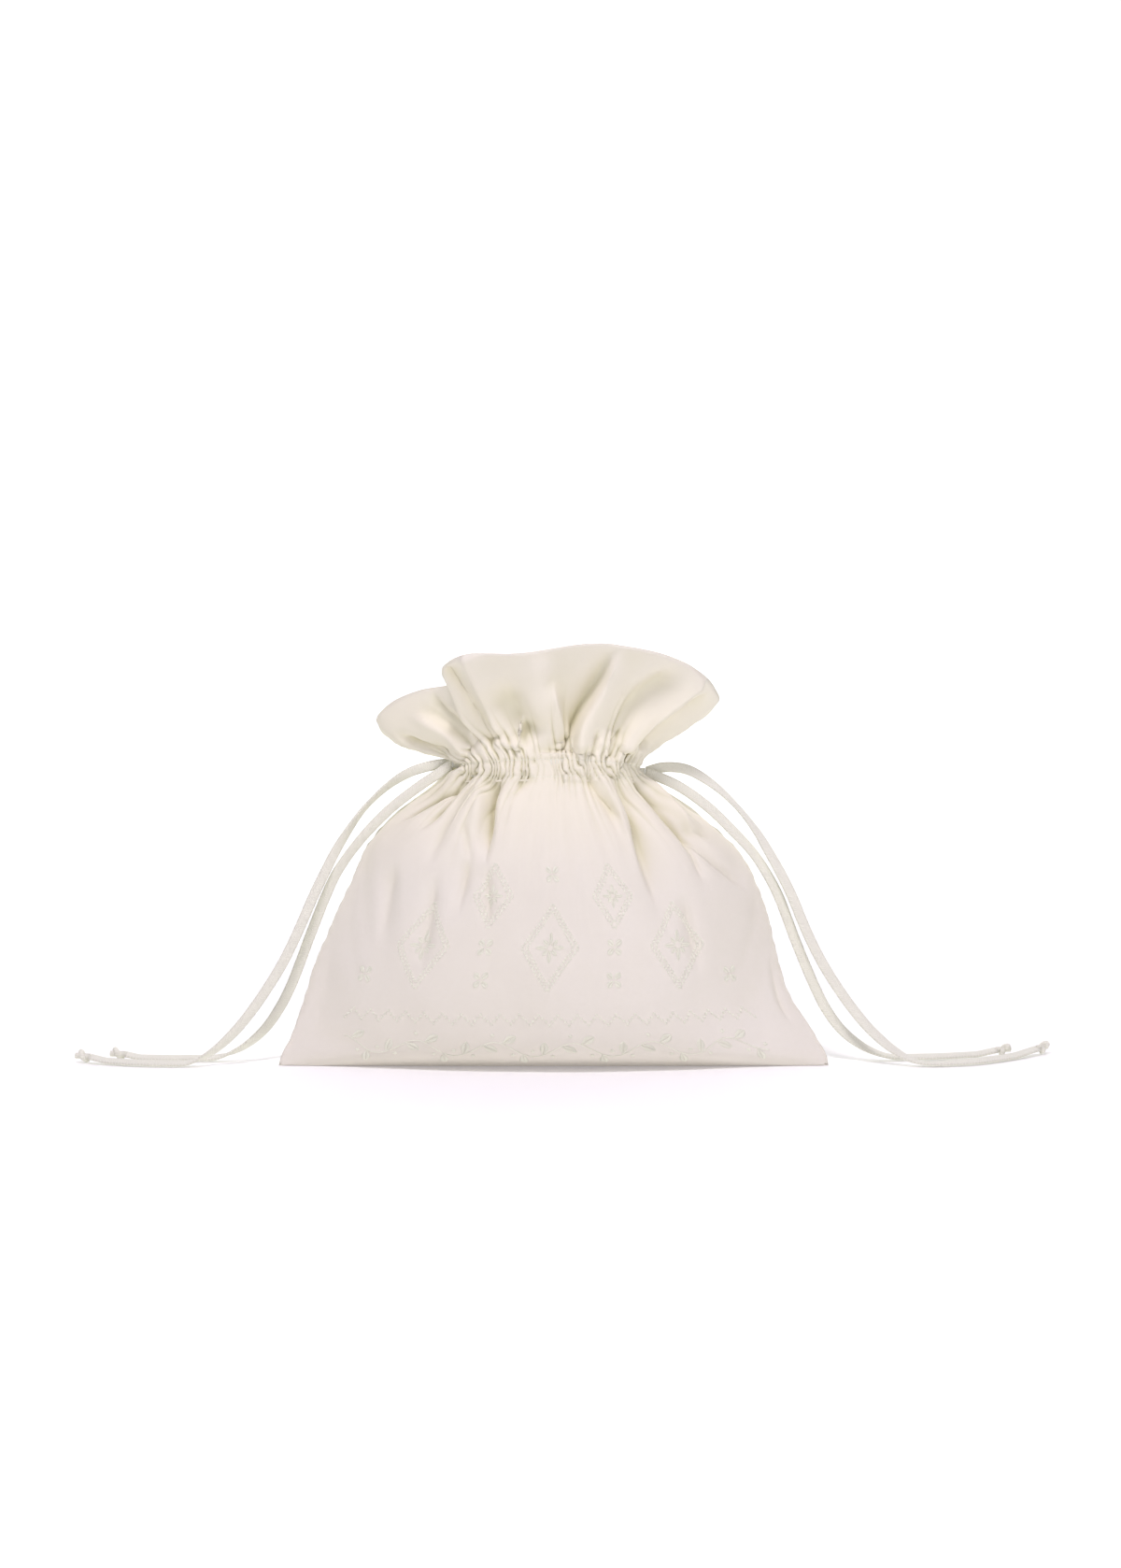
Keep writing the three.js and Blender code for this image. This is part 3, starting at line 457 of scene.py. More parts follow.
@dataclass(frozen=True)
class SateenFinish:
    """Cream cotton sateen: a fine weave with a soft sheen, a little uneven in tone, with painted shade in
    its folds and painted light near the neck.
    """

    name: str = "cream_sateen"
    shade: Colour = (0.78, 0.755, 0.63)
    light: Colour = (0.815, 0.79, 0.68)
    # Painted shade: olive where the cloth lies deep in a fold, and dark olive in the deepest creases.
    painted_fold_shade: Colour = (0.71, 0.69, 0.475)
    crease: Colour = (0.44, 0.405, 0.235)
    # Painted light: a brighter, yellower cream over the upper body and the ruffle's foot, fainter towards
    # the rim.
    painted_neck_light: Colour = (0.86, 0.83, 0.655)
    painted_neck_light_from: Pair = (0.095, 0.155)
    painted_neck_light_until: Pair = (0.185, 0.23)
    threads_across: float = 860
    threads_along: float = 720
    roughness: float = 0.5

    def material(self) -> Material:
        """The node material."""
        graph = Graph(self.name)
        u, v = graph.flat_map()
        warp = (u * (self.threads_across * math.tau)).sine()
        weft = (v * (self.threads_along * math.tau)).sine()
        floats = (u * (self.threads_across * math.pi) + v * (self.threads_along * 0.4 * math.pi)).sine()
        weave = warp * 0.25 + weft * 0.35 + floats * 0.4
        slubs = graph.noise(420, 2, 0.6)
        clouds = graph.noise(14, 3, 0.55)
        tone = (clouds * 0.7 + slubs * 0.22 + weave * 0.05).ramp(0.25, 0.75)
        crumple = graph.noise(95, 4, 0.6)
        creases = graph.noise(46, 2, 0.45)
        height = weave * 0.12 + slubs * 0.35 + crumple * 0.9 + creases * 1.5
        # Painted shade in the folds and creases, read from the painted_fold_shade attribute of the
        # cloth's mesh.
        sunk = graph.add("ShaderNodeAttribute", {"attribute_name": "painted_fold_shade"}, {}, "Fac")
        # Painted light: brighter and yellower rising from 95 to 155 mm high, losing 70% of it between 185
        # and 230 mm, as if lit more from above.
        up = graph.axis(2)
        neck = up.ramp(*self.painted_neck_light_from) * (1 - up.ramp(*self.painted_neck_light_until) * 0.7)
        colour = graph.blend(tone, self.shade, self.light)
        colour = graph.blend(neck * 0.85, colour, self.painted_neck_light)
        colour = graph.blend(sunk * 1.9, colour, self.painted_fold_shade)
        return graph.finish(
            Base_Color=graph.blend(sunk.ramp(0.3, 0.75) * 0.75, colour, self.crease),
            Roughness=self.roughness + (slubs - 0.5) * 0.12,
            Normal=graph.bump(height, 0.00035, 0.55),
            Specular_IOR_Level=0.42,
            Sheen_Weight=0.1,
            Sheen_Roughness=0.45,
            Sheen_Tint=(1.0, 0.97, 0.9, 1),
        )


@dataclass(frozen=True)
class TapeFinish:
    """Greyish cream woven tape: slanted yarns that meet in the middle, and a dotted edge."""

    name: str = "woven_tape"
    shade: Colour = (0.75, 0.755, 0.62)
    light: Colour = (0.85, 0.855, 0.72)
    yarns: float = 0.0011
    roughness: float = 0.78

    def material(self) -> Material:
        """The node material."""
        graph = Graph(self.name)
        across, along = graph.flat_map()
        middle = (across - 0.5).size()
        slant = ((along * (1 / self.yarns) + middle * 3.2) * math.tau).sine()
        edge = middle.ramp(0.36, 0.44)
        dots = (along * (math.tau / (self.yarns * 1.6))).sine().ramp(-0.2, 0.7)
        fuzz = graph.noise(900, 3, 0.6)
        tone = (slant * 0.16 + fuzz * 0.7 + 0.18 - edge * (1 - dots) * 0.5).ramp(0.1, 0.9)
        height = slant * 0.5 + fuzz * 0.6 + edge * dots * 0.8
        return graph.finish(
            Base_Color=graph.blend(tone, self.shade, self.light),
            Roughness=self.roughness + (fuzz - 0.5) * 0.15,
            Normal=graph.bump(height, 0.0002, 0.7),
            Specular_IOR_Level=0.3,
            Sheen_Weight=0.25,
            Sheen_Roughness=0.5,
        )


@dataclass(frozen=True)
class ThreadFinish:
    """Stranded embroidery thread, a shade greener than the cloth."""

    name: str = "embroidery_thread"
    shade: Colour = (0.84, 0.85, 0.69)
    light: Colour = (0.90, 0.91, 0.76)
    twist: float = 0.0009
    roughness: float = 0.5

    def material(self) -> Material:
        """The node material."""
        graph = Graph(self.name)
        around, along = graph.flat_map()
        strands = ((around * 3 + along * (1 / self.twist)) * math.tau).sine()
        fuzz = graph.noise(1100, 2, 0.6)
        tone = (strands * 0.22 + fuzz * 0.6 + 0.2).ramp(0.05, 0.95)
        return graph.finish(
            Base_Color=graph.blend(tone, self.shade, self.light),
            Roughness=self.roughness + (fuzz - 0.5) * 0.2,
            Normal=graph.bump(strands * 0.6 + fuzz * 0.4, 0.0001, 0.6),
            Specular_IOR_Level=0.45,
            Sheen_Weight=0.15,
            Sheen_Roughness=0.4,
        )


@dataclass(frozen=True)
class FloorFinish:
    """A plain pale studio floor that glows a little, and more so far behind the bag."""

    name: str = "studio_floor"
    shade: Colour = (0.885, 0.905, 0.845)
    light: Colour = (0.91, 0.93, 0.87)
    near_glow: Colour = (0.145, 0.132, 0.155)
    far_glow: Colour = (0.6, 0.6, 0.6)

    def material(self) -> Material:
        """The node material."""
        graph = Graph(self.name)
        tone = graph.noise(3, 2).ramp(0.3, 0.7)
        out = graph.add("ShaderNodeVectorMath", {"operation": "LENGTH"}, {0: graph.place()}, "Value")
        far = graph.axis(1).ramp(0.15, 1.4).larger(out.ramp(1.2, 2.6))
        return graph.finish(
            Base_Color=graph.blend(tone, self.shade, self.light),
            Roughness=0.9,
            Specular_IOR_Level=0.1,
            Emission_Color=graph.blend(far, self.near_glow, self.far_glow),
            Emission_Strength=1.0,
        )


@dataclass
class Shell:
    """A mesh in the making: points in millimetres, faces, and each point's place on its flat map."""

    points: Array
    faces: list[tuple[int, ...]]
    flat: Array

    def piece(self, name: str, material: Material, slot: str) -> Piece:
        """Makes the object, smooth, at the origin, riding on the bag.

        Args:
            name: the object's name.
            material: its finish.
            slot: not used.

        Returns:
            The new object.
        """
        mesh = bpy.data.meshes.new(name)
        mesh.from_pydata((self.points.reshape(-1, 3) * MM).tolist(), [], self.faces)
        corners = np.zeros(len(mesh.loops), dtype=np.int32)
        mesh.loops.foreach_get("vertex_index", corners)
        layer = mesh.uv_layers.new(name="flat")
        layer.data.foreach_set("uv", self.flat.reshape(-1, 2)[corners].astype(np.float32).ravel())
        mesh.materials.append(material)
        mesh.shade_smooth()
        made = add_object(name, mesh)
        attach(made, "root")
        LOG.info("%s: %d faces", name, len(self.faces))
        return made


def swept(rings: Array, flat: Array, closed: bool) -> Shell:
    """A shell swept through rings of points.

    Args:
        rings: points by ring, place on the ring, and axis.
        flat: each point's place on the flat map, shaped as the rings are.
        closed: the last ring joins the first one; open ends are capped otherwise.

    Returns:
        The shell.
    """
    steps, count = rings.shape[:2]
    faces: list[tuple[int, ...]] = []
    for j in range(steps if closed else steps - 1):
        a, b = j * count, (j + 1) % steps * count
        faces += [(a + i, a + (i + 1) % count, b + (i + 1) % count, b + i) for i in range(count)]
    if not closed:
        faces.append(tuple(reversed(range(count))))
        faces.append(tuple(range((steps - 1) * count, steps * count)))
    return Shell(rings, faces, flat)


@dataclass
class BagForm:
    """The smooth form that both panels follow, before any fold."""

    eyelet: float = 3.0
    pinch: float = 0.06
    notch: float = 0.75
    eyelet_heights: Pair = (163.6, 161.2)

    def swell(self, section: Array, across: Array) -> Array:
        """How far a section stands out from its seam, from 0 at the seam to 1 in the middle."""
        return np.maximum(0, np.sin(math.pi * across)) ** section[..., Column.LENS]

    def level(self, side: Side, section: Array, across: Array) -> Array:
        """Points of level sections, at places along the panel."""
        turn = math.pi * across
        half = np.where(np.cos(turn) > 0, section[..., Column.LEFT], section[..., Column.RIGHT])
        seam = section[..., Column.SEAM]
        deep = section[..., Column[side.name]] - side.value * seam
        y = seam + side.value * deep * self.swell(section, across)
        z = np.maximum(0, section[..., Column.Z]) + section[..., Column.CROWN] * np.sin(turn) ** 2
        return np.stack((-half * np.cos(turn), y, z), axis=-1)

    def ruffle(self, side: Side, across: Array, rise: Array) -> Array:
        """Points of the ruffle, from the neck at rise 0 to the rim at rise 1."""
        section = np.broadcast_to(SECTIONS[NECK], (*across.shape, len(Column)))
        neck = self.level(side, section, across)
        at = across if side is Side.FRONT else 2 - across
        place = np.interp(np.mod(at, 2), [*RIM[:, 0], 2], np.arange(len(RIM) + 1))
        _, end, cup, stand = np.split(through_rows(RIM, place, closed=True), (1, 4, 5), axis=-1)
        control = neck + (end - neck) * np.concatenate((cup, cup, 1 - cup), axis=-1)
        upright = neck.copy()
        upright[..., 2] = (neck[..., 2] + end[..., 2]) / 2
        leaving = neck + (control - neck) * 2 / 3
        leaving = leaving + (upright - leaving) * stand
        arriving = control + (end - control) / 3
        t = rise[..., None]
        return (
            neck * (1 - t) ** 3
            + leaving * 3 * t * (1 - t) ** 2
            + arriving * 3 * t**2 * (1 - t)
            + end * t**3
        )

    def points(self, side: Side, across: Array, station: Array) -> Array:
        """Points of a panel.

        Args:
            side: which panel.
            across: 0 at the left seam to 1 at the right one.
            station: -1 at the bottom seam, 0 at the bag's lower edge, then by section up to the neck,
                and one more at the rim. Shaped as across is.

        Returns:
            Points in millimetres.
        """
        section = through_rows(SECTIONS, np.clip(station, 0, NECK))
        made = self.level(side, section, across)
        seam = section[..., Column.SEAM]
        made[..., 1] = seam + (made[..., 1] - seam) * np.clip(1 + station, 0, 1)
        above = station > NECK
        if above.any():
            made[above] = self.ruffle(side, across[above], station[above] - NECK)
        away, out = station - MID_CASING, np.abs(np.cos(math.pi * across))
        made[..., 0] *= 1 - self.pinch * hump(away, 0.55) * out**2
        drawn = hump(away, np.where(away < 0, 0.85, 0.6)) * self.notch * out**3
        made[..., 2] += (np.where(across < 0.5, *self.eyelet_heights) - made[..., 2]) * drawn
        opening = within((CASING - 0.3, CASING + 0.05), (NECK - 0.1, NECK + 0.06), station)
        made[..., 1] += side.value * self.eyelet * opening * (1 - self.swell(section, across))
        return made

    def ring(self, share: Array, inset: float, z: float) -> Array:
        """Points of a level ring inside the casing, drawn in from the panels by inset."""
        station = CASING + (z - CASING_FOOT) / (CASING_HEAD - CASING_FOOT)
        section = through_rows(SECTIONS, np.full(share.shape, np.clip(station, CASING, NECK)))
        section[..., Column.Z] = z
        turns = 2 * np.mod(share, 1)
        front = self.level(Side.FRONT, section, np.clip(turns, 0, 1))
        back = self.level(Side.BACK, section, np.clip(2 - turns, 0, 1))
        made = np.where((turns < 1)[..., None], front, back)
        half = np.where(made[..., 0] < 0, section[..., Column.LEFT], section[..., Column.RIGHT])
        deep = section[..., Column.FRONT]
        away = np.stack((made[..., 0] / half**2, made[..., 1] / deep**2, 0 * half), axis=-1)
        return made - inset * unit(away)


@dataclass
class ClothSettle:
    """A short cloth simulation on a coarse copy of a panel, which lets its spare cloth buckle."""

    columns: int = 110
    rows: int = 76
    frames: int = 26
    spare: float = 0.07
    calm: float = 34.0
    body_hold: float = 0.21
    ruffle_hold: float = 0.5
    enlarged: float = 10.0
    limit: float = 4.0
    evening: int = 6

    def run(self, name: str, grid: Array, hold: Array) -> Array:
        """Simulates a coarse copy of a grid.

        Args:
            name: the copy's name.
            grid: the panel's points in millimetres, by row and column.
            hold: how firmly each point is held, from 0 to 1.

        Returns:
            How far each point of the grid moved, in millimetres.
        """
        sizes, coarse_sizes = grid.shape[:2], (self.rows, self.columns)
        picks = [np.linspace(0, n - 1, m).round().astype(int) for n, m in zip(sizes, coarse_sizes)]
        coarse = grid[np.ix_(*picks)]
        copy = self.coarse_copy(name, coarse, hold[np.ix_(*picks)])
        self.simulate(copy)
        flat = np.zeros(coarse.size, dtype=np.float32)
        copy.data.vertices.foreach_get("co", flat)
        moved = flat.reshape(coarse.shape) / (MM * self.enlarged) - coarse
        bpy.data.objects.remove(copy)
        far = np.linalg.norm(moved, axis=-1, keepdims=True)
        moved = moved * np.minimum(1, self.limit / np.maximum(far, 1e-6))
        LOG.info("%s: moved %.2f mm on average, %.2f mm at most", name, far.mean(), far.max())
        return self.spread(moved, picks, sizes)

    def coarse_copy(self, name: str, coarse: Array, weights: Array) -> Piece:
        """Makes the enlarged coarse copy, with its held points and its spare cloth."""
        points = (coarse * MM * self.enlarged).reshape(-1, 3)
        mesh = bpy.data.meshes.new(name)
        mesh.from_pydata(points.tolist(), [], grid_faces(self.rows, self.columns))
        copy = add_object(name, mesh)
        group = copy.vertex_groups.new(name="hold")
        for k, weight in enumerate(weights.ravel()):
            group.add([k], float(weight), "REPLACE")
        copy.shape_key_add(name="folded")
        roomy = copy.shape_key_add(name="roomy")
        calm = self.calm * MM * self.enlarged
        wider = points * np.array((1.0, 1 + self.spare, 1.0))
        wider[:, 0] += self.spare * (points[:, 0] - calm * np.tanh(points[:, 0] / calm))
        roomy.data.foreach_set("co", wider.astype(np.float32).ravel())
        return copy

    def simulate(self, copy: Piece) -> None:
        """Runs the simulation and applies it."""
        cloth = copy.modifiers.new("cloth", "CLOTH")
        settings = {
            "quality": 6,
            "mass": 0.3,
            "tension_stiffness": 20,
            "compression_stiffness": 20,
            "shear_stiffness": 8,
            "bending_stiffness": 0.6,
            "vertex_group_mass": "hold",
            "pin_stiffness": 1.0,
            "rest_shape_key": copy.data.shape_keys.key_blocks["roomy"],
        }
        for name, value in settings.items():
            setattr(cloth.settings, name, value)
        cloth.collision_settings.use_collision = False
        cloth.collision_settings.use_self_collision = False
        cloth.point_cache.frame_start = 1
        cloth.point_cache.frame_end = self.frames
        scene = bpy.context.scene
        for number in range(1, self.frames + 1):
            scene.frame_set(number)
        shaped = copy.evaluated_get(bpy.context.evaluated_depsgraph_get())
        settled = np.zeros(3 * len(copy.data.vertices), dtype=np.float32)
        shaped.data.vertices.foreach_get("co", settled)
        copy.modifiers.remove(cloth)
        copy.shape_key_clear()
        copy.data.vertices.foreach_set("co", settled)
        scene.frame_set(1)

    def spread(self, moved: Array, picks: list[Array], sizes: tuple[int, int]) -> Array:
        """Spreads the coarse moves over the fine grid, smoothly.

        Args:
            moved: the moves by coarse row and column.
            picks: the fine rows and columns that the coarse ones were taken from.
            sizes: how many fine rows and columns there are.

        Returns:
            The moves by fine row and column.
        """
        for axis in (1, 0):
            fine = np.arange(sizes[axis])
            moved = np.apply_along_axis(lambda line: np.interp(fine, picks[axis], line), axis, moved)
        relax(moved, self.evening)
        return moved


@dataclass
class ClothPanel:
    """One cloth panel, from the bottom seam through the gathered casing to the ruffle's rim."""

    side: Side
    name: str
    node: str
    folds: tuple[Fold, ...]
    middle_folds: float
    columns: int = 326
    rows: int = 150
    thick: float = 0.9
    flat_width: float = 304
    puckers: float = 42
    fingers: float = 17
    pucker_height: float = 3.0
    band: Pair = (0.12, 0.8)
    slant: float = 1.1
    calm_at: float = 0.475
    ease: int = 40
    eased_rows: tuple[Pair, Pair] = ((8.9, 9.7), (11.2, 11.5))
    closer: float = 2.2
    closer_rows: tuple[Pair, Pair] = ((8.8, 9.8), (11.15, 11.5))
    measured_at: Triple = (0.3, 0.5, 0.7)
    samples_up: int = 1401
    samples_across: int = 601
    seam_calm: float = 0.05
    path_steps: int = 6
    path_evening: int = 8
    nearer_first: float = 0.05
    fold_reach: float = 3
    strays: tuple[Triple, ...] = ((0.42, 19.1, 1), (0.34, 43.7, 2.3), (0.26, 91.3, 3.1))
    # Painted fold shade at a fine and a broad scale: evening passes, the depth left unshaded, and the
    # depth of half shade.
    painted_fold_shade_scales: tuple[tuple[int, float, float], ...] = ((8, 0.03, 0.45), (60, 0.45, 2.2))
    form: BagForm = field(default_factory=BagForm)
    grid: Array = field(init=False)
    normals: Array = field(init=False)
    heights: Array = field(init=False)
    stations: Array = field(init=False)
    painted_tuck_shade: Array = field(init=False)

    @property
    def share(self) -> Array:
        """0 at the left seam to 1 at the right one, by column."""
        return np.linspace(0, 1, self.columns)[None, :]

    @property
    def edge(self) -> Array:
        """The share of a row between each column and the nearer side seam."""
        return np.minimum(self.share, 1 - self.share)

    def from_seams(self) -> Array:
        """0 at the side seams to 1 away from them, by column."""
        return smoothstep(0, self.seam_calm, self.edge)

    def stitch_rows(self) -> tuple[float, ...]:
        """How high the casing's two rows of stitches lie on the flat cloth."""
        foot, head = np.interp((CASING, NECK), self.stations, self.heights)
        return tuple(foot + share * (head - foot) for share in self.band)

    def lay_out(self) -> None:
        """Lays the smooth grid: rows closer at the casing, columns evenly along each row."""
        dense = np.linspace(-1, RIM_STATION, self.samples_up)
        places = (np.full(dense.shape, across) for across in self.measured_at)
        lines = [self.form.points(self.side, place, dense) for place in places]
        steps = np.mean([np.diff(arc_lengths(line)) for line in lines], axis=0)
        casing = within(*self.closer_rows, (dense[1:] + dense[:-1]) / 2)
        weight = np.concatenate(([0.0], np.cumsum(steps * (1 + self.closer * casing))))
        length = np.concatenate(([0.0], np.cumsum(steps)))
        self.stations = np.interp(np.linspace(0, weight[-1], self.rows), weight, dense)
        self.heights = np.interp(self.stations, dense, length)
        fine = np.linspace(0, 1, self.samples_across)
        across = np.zeros((self.rows, self.columns))
        for j, station in enumerate(self.stations):
            run = arc_lengths(self.form.points(self.side, fine, np.full(fine.shape, station)))
            across[j] = np.interp(self.share[0] * run[-1], run, fine)
        station = np.repeat(self.stations[:, None], self.columns, axis=1)
        self.grid = self.form.points(self.side, across, station)
        self.ease_neck()
        self.normals = self.outward()

    def ease_neck(self) -> None:
        """Rounds the turns below and above the casing, so that the neck is drawn in like a waist."""
        near = within(*self.eased_rows, self.stations)[:, None, None]
        for _ in range(self.ease):
            eased = self.grid.copy()
            relax(eased, 1, (0,))
            self.grid += (eased - self.grid) * near

    def outward(self) -> Array:
        """The outward direction at each point of the grid."""
        made = np.cross(np.gradient(self.grid, axis=1), np.gradient(self.grid, axis=0))
        return unit(-self.side.value * made)

    def raise_by(self, lift: Array) -> None:
        """Moves each point of the grid outward."""
        self.grid = self.grid + self.normals * lift[..., None]
        self.normals = self.outward()

    def seen(self) -> Array:
        """Each point's x and z from the panel's own side, in the plane of the front's middle."""
        flat = self.grid[..., [0, 2]]
        if self.side is Side.BACK:
            return flat
        nearer = (FOLD_PLANE - EYE[1]) / (self.grid[..., 1] - EYE[1])
        return EYE[[0, 2]] + (flat - EYE[[0, 2]]) * nearer[..., None]

    def path_on_cloth(self, fold: Fold, seen: Array) -> tuple[Array, Array]:
        """A fold's path laid on the grid.

        Args:
            fold: the fold.
            seen: each grid point's x and z.

        Returns:
            The path's points, and the outward direction at each.
        """
        rows = np.array(fold.path, float)
        last = len(rows) - 1
        wanted = through_rows(rows, np.linspace(0, last, 1 + self.path_steps * last))
        spread = seen.reshape(-1, 2)
        points = self.grid.reshape(-1, 3)
        depth = -self.side.value * points[:, 1] * self.nearer_first
        picks = [np.argmin(((spread - p) ** 2).sum(axis=1) + depth) for p in wanted]
        line, away = points[picks], self.normals.reshape(-1, 3)[picks]
        for table in (line, away):
            relax(table, self.path_evening, (0,))
        return line, unit(away)

    def fold_lift(self, fold: Fold, seen: Array) -> Array:
        """How far one fold lifts each point of the grid."""
        line, away = self.path_on_cloth(fold, seen)
        points = self.grid.reshape(-1, 3)
        reach = self.fold_reach * max(fold.left, fold.right)
        low, high = line.min(axis=0) - reach, line.max(axis=0) + reach
        near = np.flatnonzero(((points > low) & (points < high)).all(axis=1))
        best = np.full(len(near), np.inf)
        offset, along = np.zeros(len(near)), np.zeros(len(near))
        run = arc_lengths(line)
        for k in range(len(line) - 1):
            step = line[k + 1] - line[k]
            share = np.clip((points[near] - line[k]) @ step / max(step @ step, 1e-9), 0, 1)
            gap = points[near] - line[k] - share[:, None] * step
            far = np.linalg.norm(gap, axis=1)
            aside = unit(np.cross(step, away[k]))
            aside = aside if aside[0] >= 0 else -aside
            closer = far < best
            best = np.where(closer, far, best)
            offset = np.where(closer, np.where(gap @ aside >= 0, far, -far), offset)
            along = np.where(closer, (run[k] + share * (run[k + 1] - run[k])) / run[-1], along)
        height = hump(best, np.where(offset < 0, fold.left, fold.right), fold.sharp)
        height *= within((-0.02, fold.rise - 0.02), (1 - fold.fall, 1.02), along)
        made = np.zeros(len(points))
        made[near] = fold.lift * height
        return made.reshape(self.grid.shape[:2])

    def draw_folds(self) -> None:
        """Lifts the drawn folds out of the smooth grid."""
        seen = self.seen()
        self.raise_by(sum(self.fold_lift(fold, seen) for fold in self.folds) * self.from_seams())

    def settle(self) -> None:
        """Lets the folded cloth settle, held at its seams, its hem and its casing."""
        held = ClothSettle()
        station = self.stations[:, None]
        ruffle = smoothstep(NECK - 0.2, NECK + 0.3, station)
        hold = held.body_hold + (held.ruffle_hold - held.body_hold) * ruffle
        casing = hump(station - MID_CASING, 0.75, 4)
        hem = 1 - smoothstep(0.2, 1.5, station)
        seams = 1 - smoothstep(0.004, 0.03, self.edge)
        hold = np.maximum(np.maximum(hold, casing), np.maximum(hem, seams))
        first = int(np.searchsorted(self.stations, 0))
        self.grid[first:] += held.run(f"{self.name}_settling", self.grid[first:], hold[first:])
        self.normals = self.outward()

    def patches(self, pitch: float, phase: float, other: float, shift: float) -> Array:
        """Uneven patches along a row, from -1 to 1, made of two waves by their pitches and phases."""
        return np.sin(pitch * self.share + phase) * np.sin(other * self.share + shift)

    def crests(self, count: float, seed: float, shift: Array, sharp: float) -> Array:
        """Rounded crests with sharp valleys, from 0 to 1.

        Args:
            count: crests along a row.
            seed: what sets how the crests stray from an even pitch.
            shift: how far each point's crests are moved along the row, in crests.
            sharp: under 1, the less the sharper.

        Returns:
            The height by row and column.
        """
        drift = sum(far * np.sin(pitch * self.share + part * seed) for far, pitch, part in self.strays)
        return np.abs(np.sin(math.pi * (count * self.share + drift + shift))) ** sharp

    def draw_gathers(self) -> None:
        """Puckers the casing between its two rows of stitches, and lets the folds run out of it."""
        foot, head = self.stitch_rows()
        v, from_middle = self.heights[:, None], self.share - self.calm_at
        below, above = np.maximum(0, foot - v), np.maximum(0, v - head)
        climb = np.clip((v - foot + 2) / (head - foot + 4), 0, 1)
        calm = 1 - 0.75 * hump(from_middle, 0.045)
        wide_calm = 1 - 0.85 * hump(from_middle, 0.1)
        uneven = 0.75 + 0.25 * self.patches(23, 1.3, 57, 0.4)
        often = 0.5 + 0.5 * self.patches(47, 0.9, 21, 2.2)
        rare = 0.5 + 0.5 * self.patches(31, 2.4, 17, 0.6)
        fan = self.slant * (climb - 0.5) * np.tanh(from_middle / 0.12)
        turn = 0.5 + 0.22 * np.sin(29 * self.share + 0.7)
        fine = self.crests(self.puckers, 0.6, fan + 0.5 * smoothstep(-0.14, 0.14, climb - turn), 0.44)
        fingers = self.crests(self.fingers, 2.7, 0.25 * fan, 0.62)
        reach = hump(below, 1.5 + 2.2 * often, 1.5) * hump(above, 3 + 4 * often, 1.5)
        up = above / (above + 1.5) * hump(above, 8 + 20 * often)
        down = below / (below + 2.5) * hump(below, 9 + 26 * rare) * wide_calm
        lift = self.pucker_height * (fine - 0.4) * calm * uneven * reach
        lift = lift + self.middle_folds * (fingers - 0.3) * (1.7 * up + down) * calm
        for row in (foot, head):
            lift = lift - hump(v - row, 0.9) * 0.5 * fine * calm
        # The narrow valleys of the puckers and of the folds that run out of them, which get painted
        # shade.
        narrow = np.maximum(0, 1 - fine / 0.62) * reach * calm * uneven
        self.painted_tuck_shade = np.maximum(narrow, np.maximum(0, 1 - fingers / 0.5) * (up + 0.5 * down) * calm)
        self.raise_by(lift * self.from_seams())

    def ripple(self) -> None:
        """Adds the slight unevenness of cloth that stands by itself."""
        x, z = self.grid[..., 0], self.grid[..., 2]
        phase = 0.0 if self.side is Side.FRONT else 1.7
        soft = 0.45 * np.sin(x / 9.0 + 1.2 * np.sin(z / 31.0) + phase)
        soft = soft + 0.42 * np.sin(x / 17.0 - z / 23.0 + 0.8 + phase)
        soft = soft + 0.2 * np.sin(x / 5.2 + z / 13.0 + 2 * phase)
        seam = 0.35 * np.sin(self.heights / 2.3 + 2 * np.sin(self.heights / 9.0))[:, None]
        seam = seam * np.exp(-self.edge / 0.02)
        self.raise_by(soft * self.from_seams() * smoothstep(4, 30, z) + seam * smoothstep(3, 12, z))

    def place(self, u: Array, v: Array) -> tuple[Array, Array]:
        """Where places on the flat cloth come to lie.

        Args:
            u: millimetres across from the panel's middle.
            v: millimetres up from the bottom seam.

        Returns:
            The points, and the outward direction at each.
        """
        i = np.clip((u / self.flat_width + 0.5) * (self.columns - 1), 0, self.columns - 1.001)
        j = np.clip(np.interp(v, self.heights, np.arange(self.rows)), 0, self.rows - 1.001)
        i0, j0 = i.astype(int), j.astype(int)
        a, b = (i - i0)[..., None], (j - j0)[..., None]
        made = []
        for table in (self.grid, self.normals):
            lower, upper = (table[k, i0] * (1 - a) + table[k, i0 + 1] * a for k in (j0, j0 + 1))
            made.append(lower * (1 - b) + upper * b)
        return made[0], unit(made[1])

    def painted_fold_shades(self, facing: int) -> Array:
        """How much shade is painted on each point, the more the deeper it lies in a fold, as seen from
        outside at 1 and from inside at -1.
        """
        smooth = self.grid.copy()
        made = np.zeros(smooth.shape[:2])
        for passes, slight, depth in self.painted_fold_shade_scales:
            relax(smooth, passes)
            sunk = facing * ((smooth - self.grid) * self.normals).sum(axis=-1)
            sunk = np.maximum(0, sunk - slight)
            made = made + sunk / (sunk + depth) / 2
        relax(made, 2)
        # Less painted shade on the ruffle and low on the body, more at the casing.
        upper = 1 - 0.55 * smoothstep(NECK + 0.06, NECK + 0.5, self.stations)
        lower = 0.2 + 0.8 * smoothstep(5.8, 8.2, self.stations)
        drawn = 1 + 0.7 * hump(self.stations - MID_CASING, 0.8, 4)
        made = made * (upper * lower * drawn)[:, None]
        # The narrow valleys of the gathers get painted shade on the outer face.
        if facing > 0:
            made = made + 0.72 * self.painted_tuck_shade
        return made.ravel()

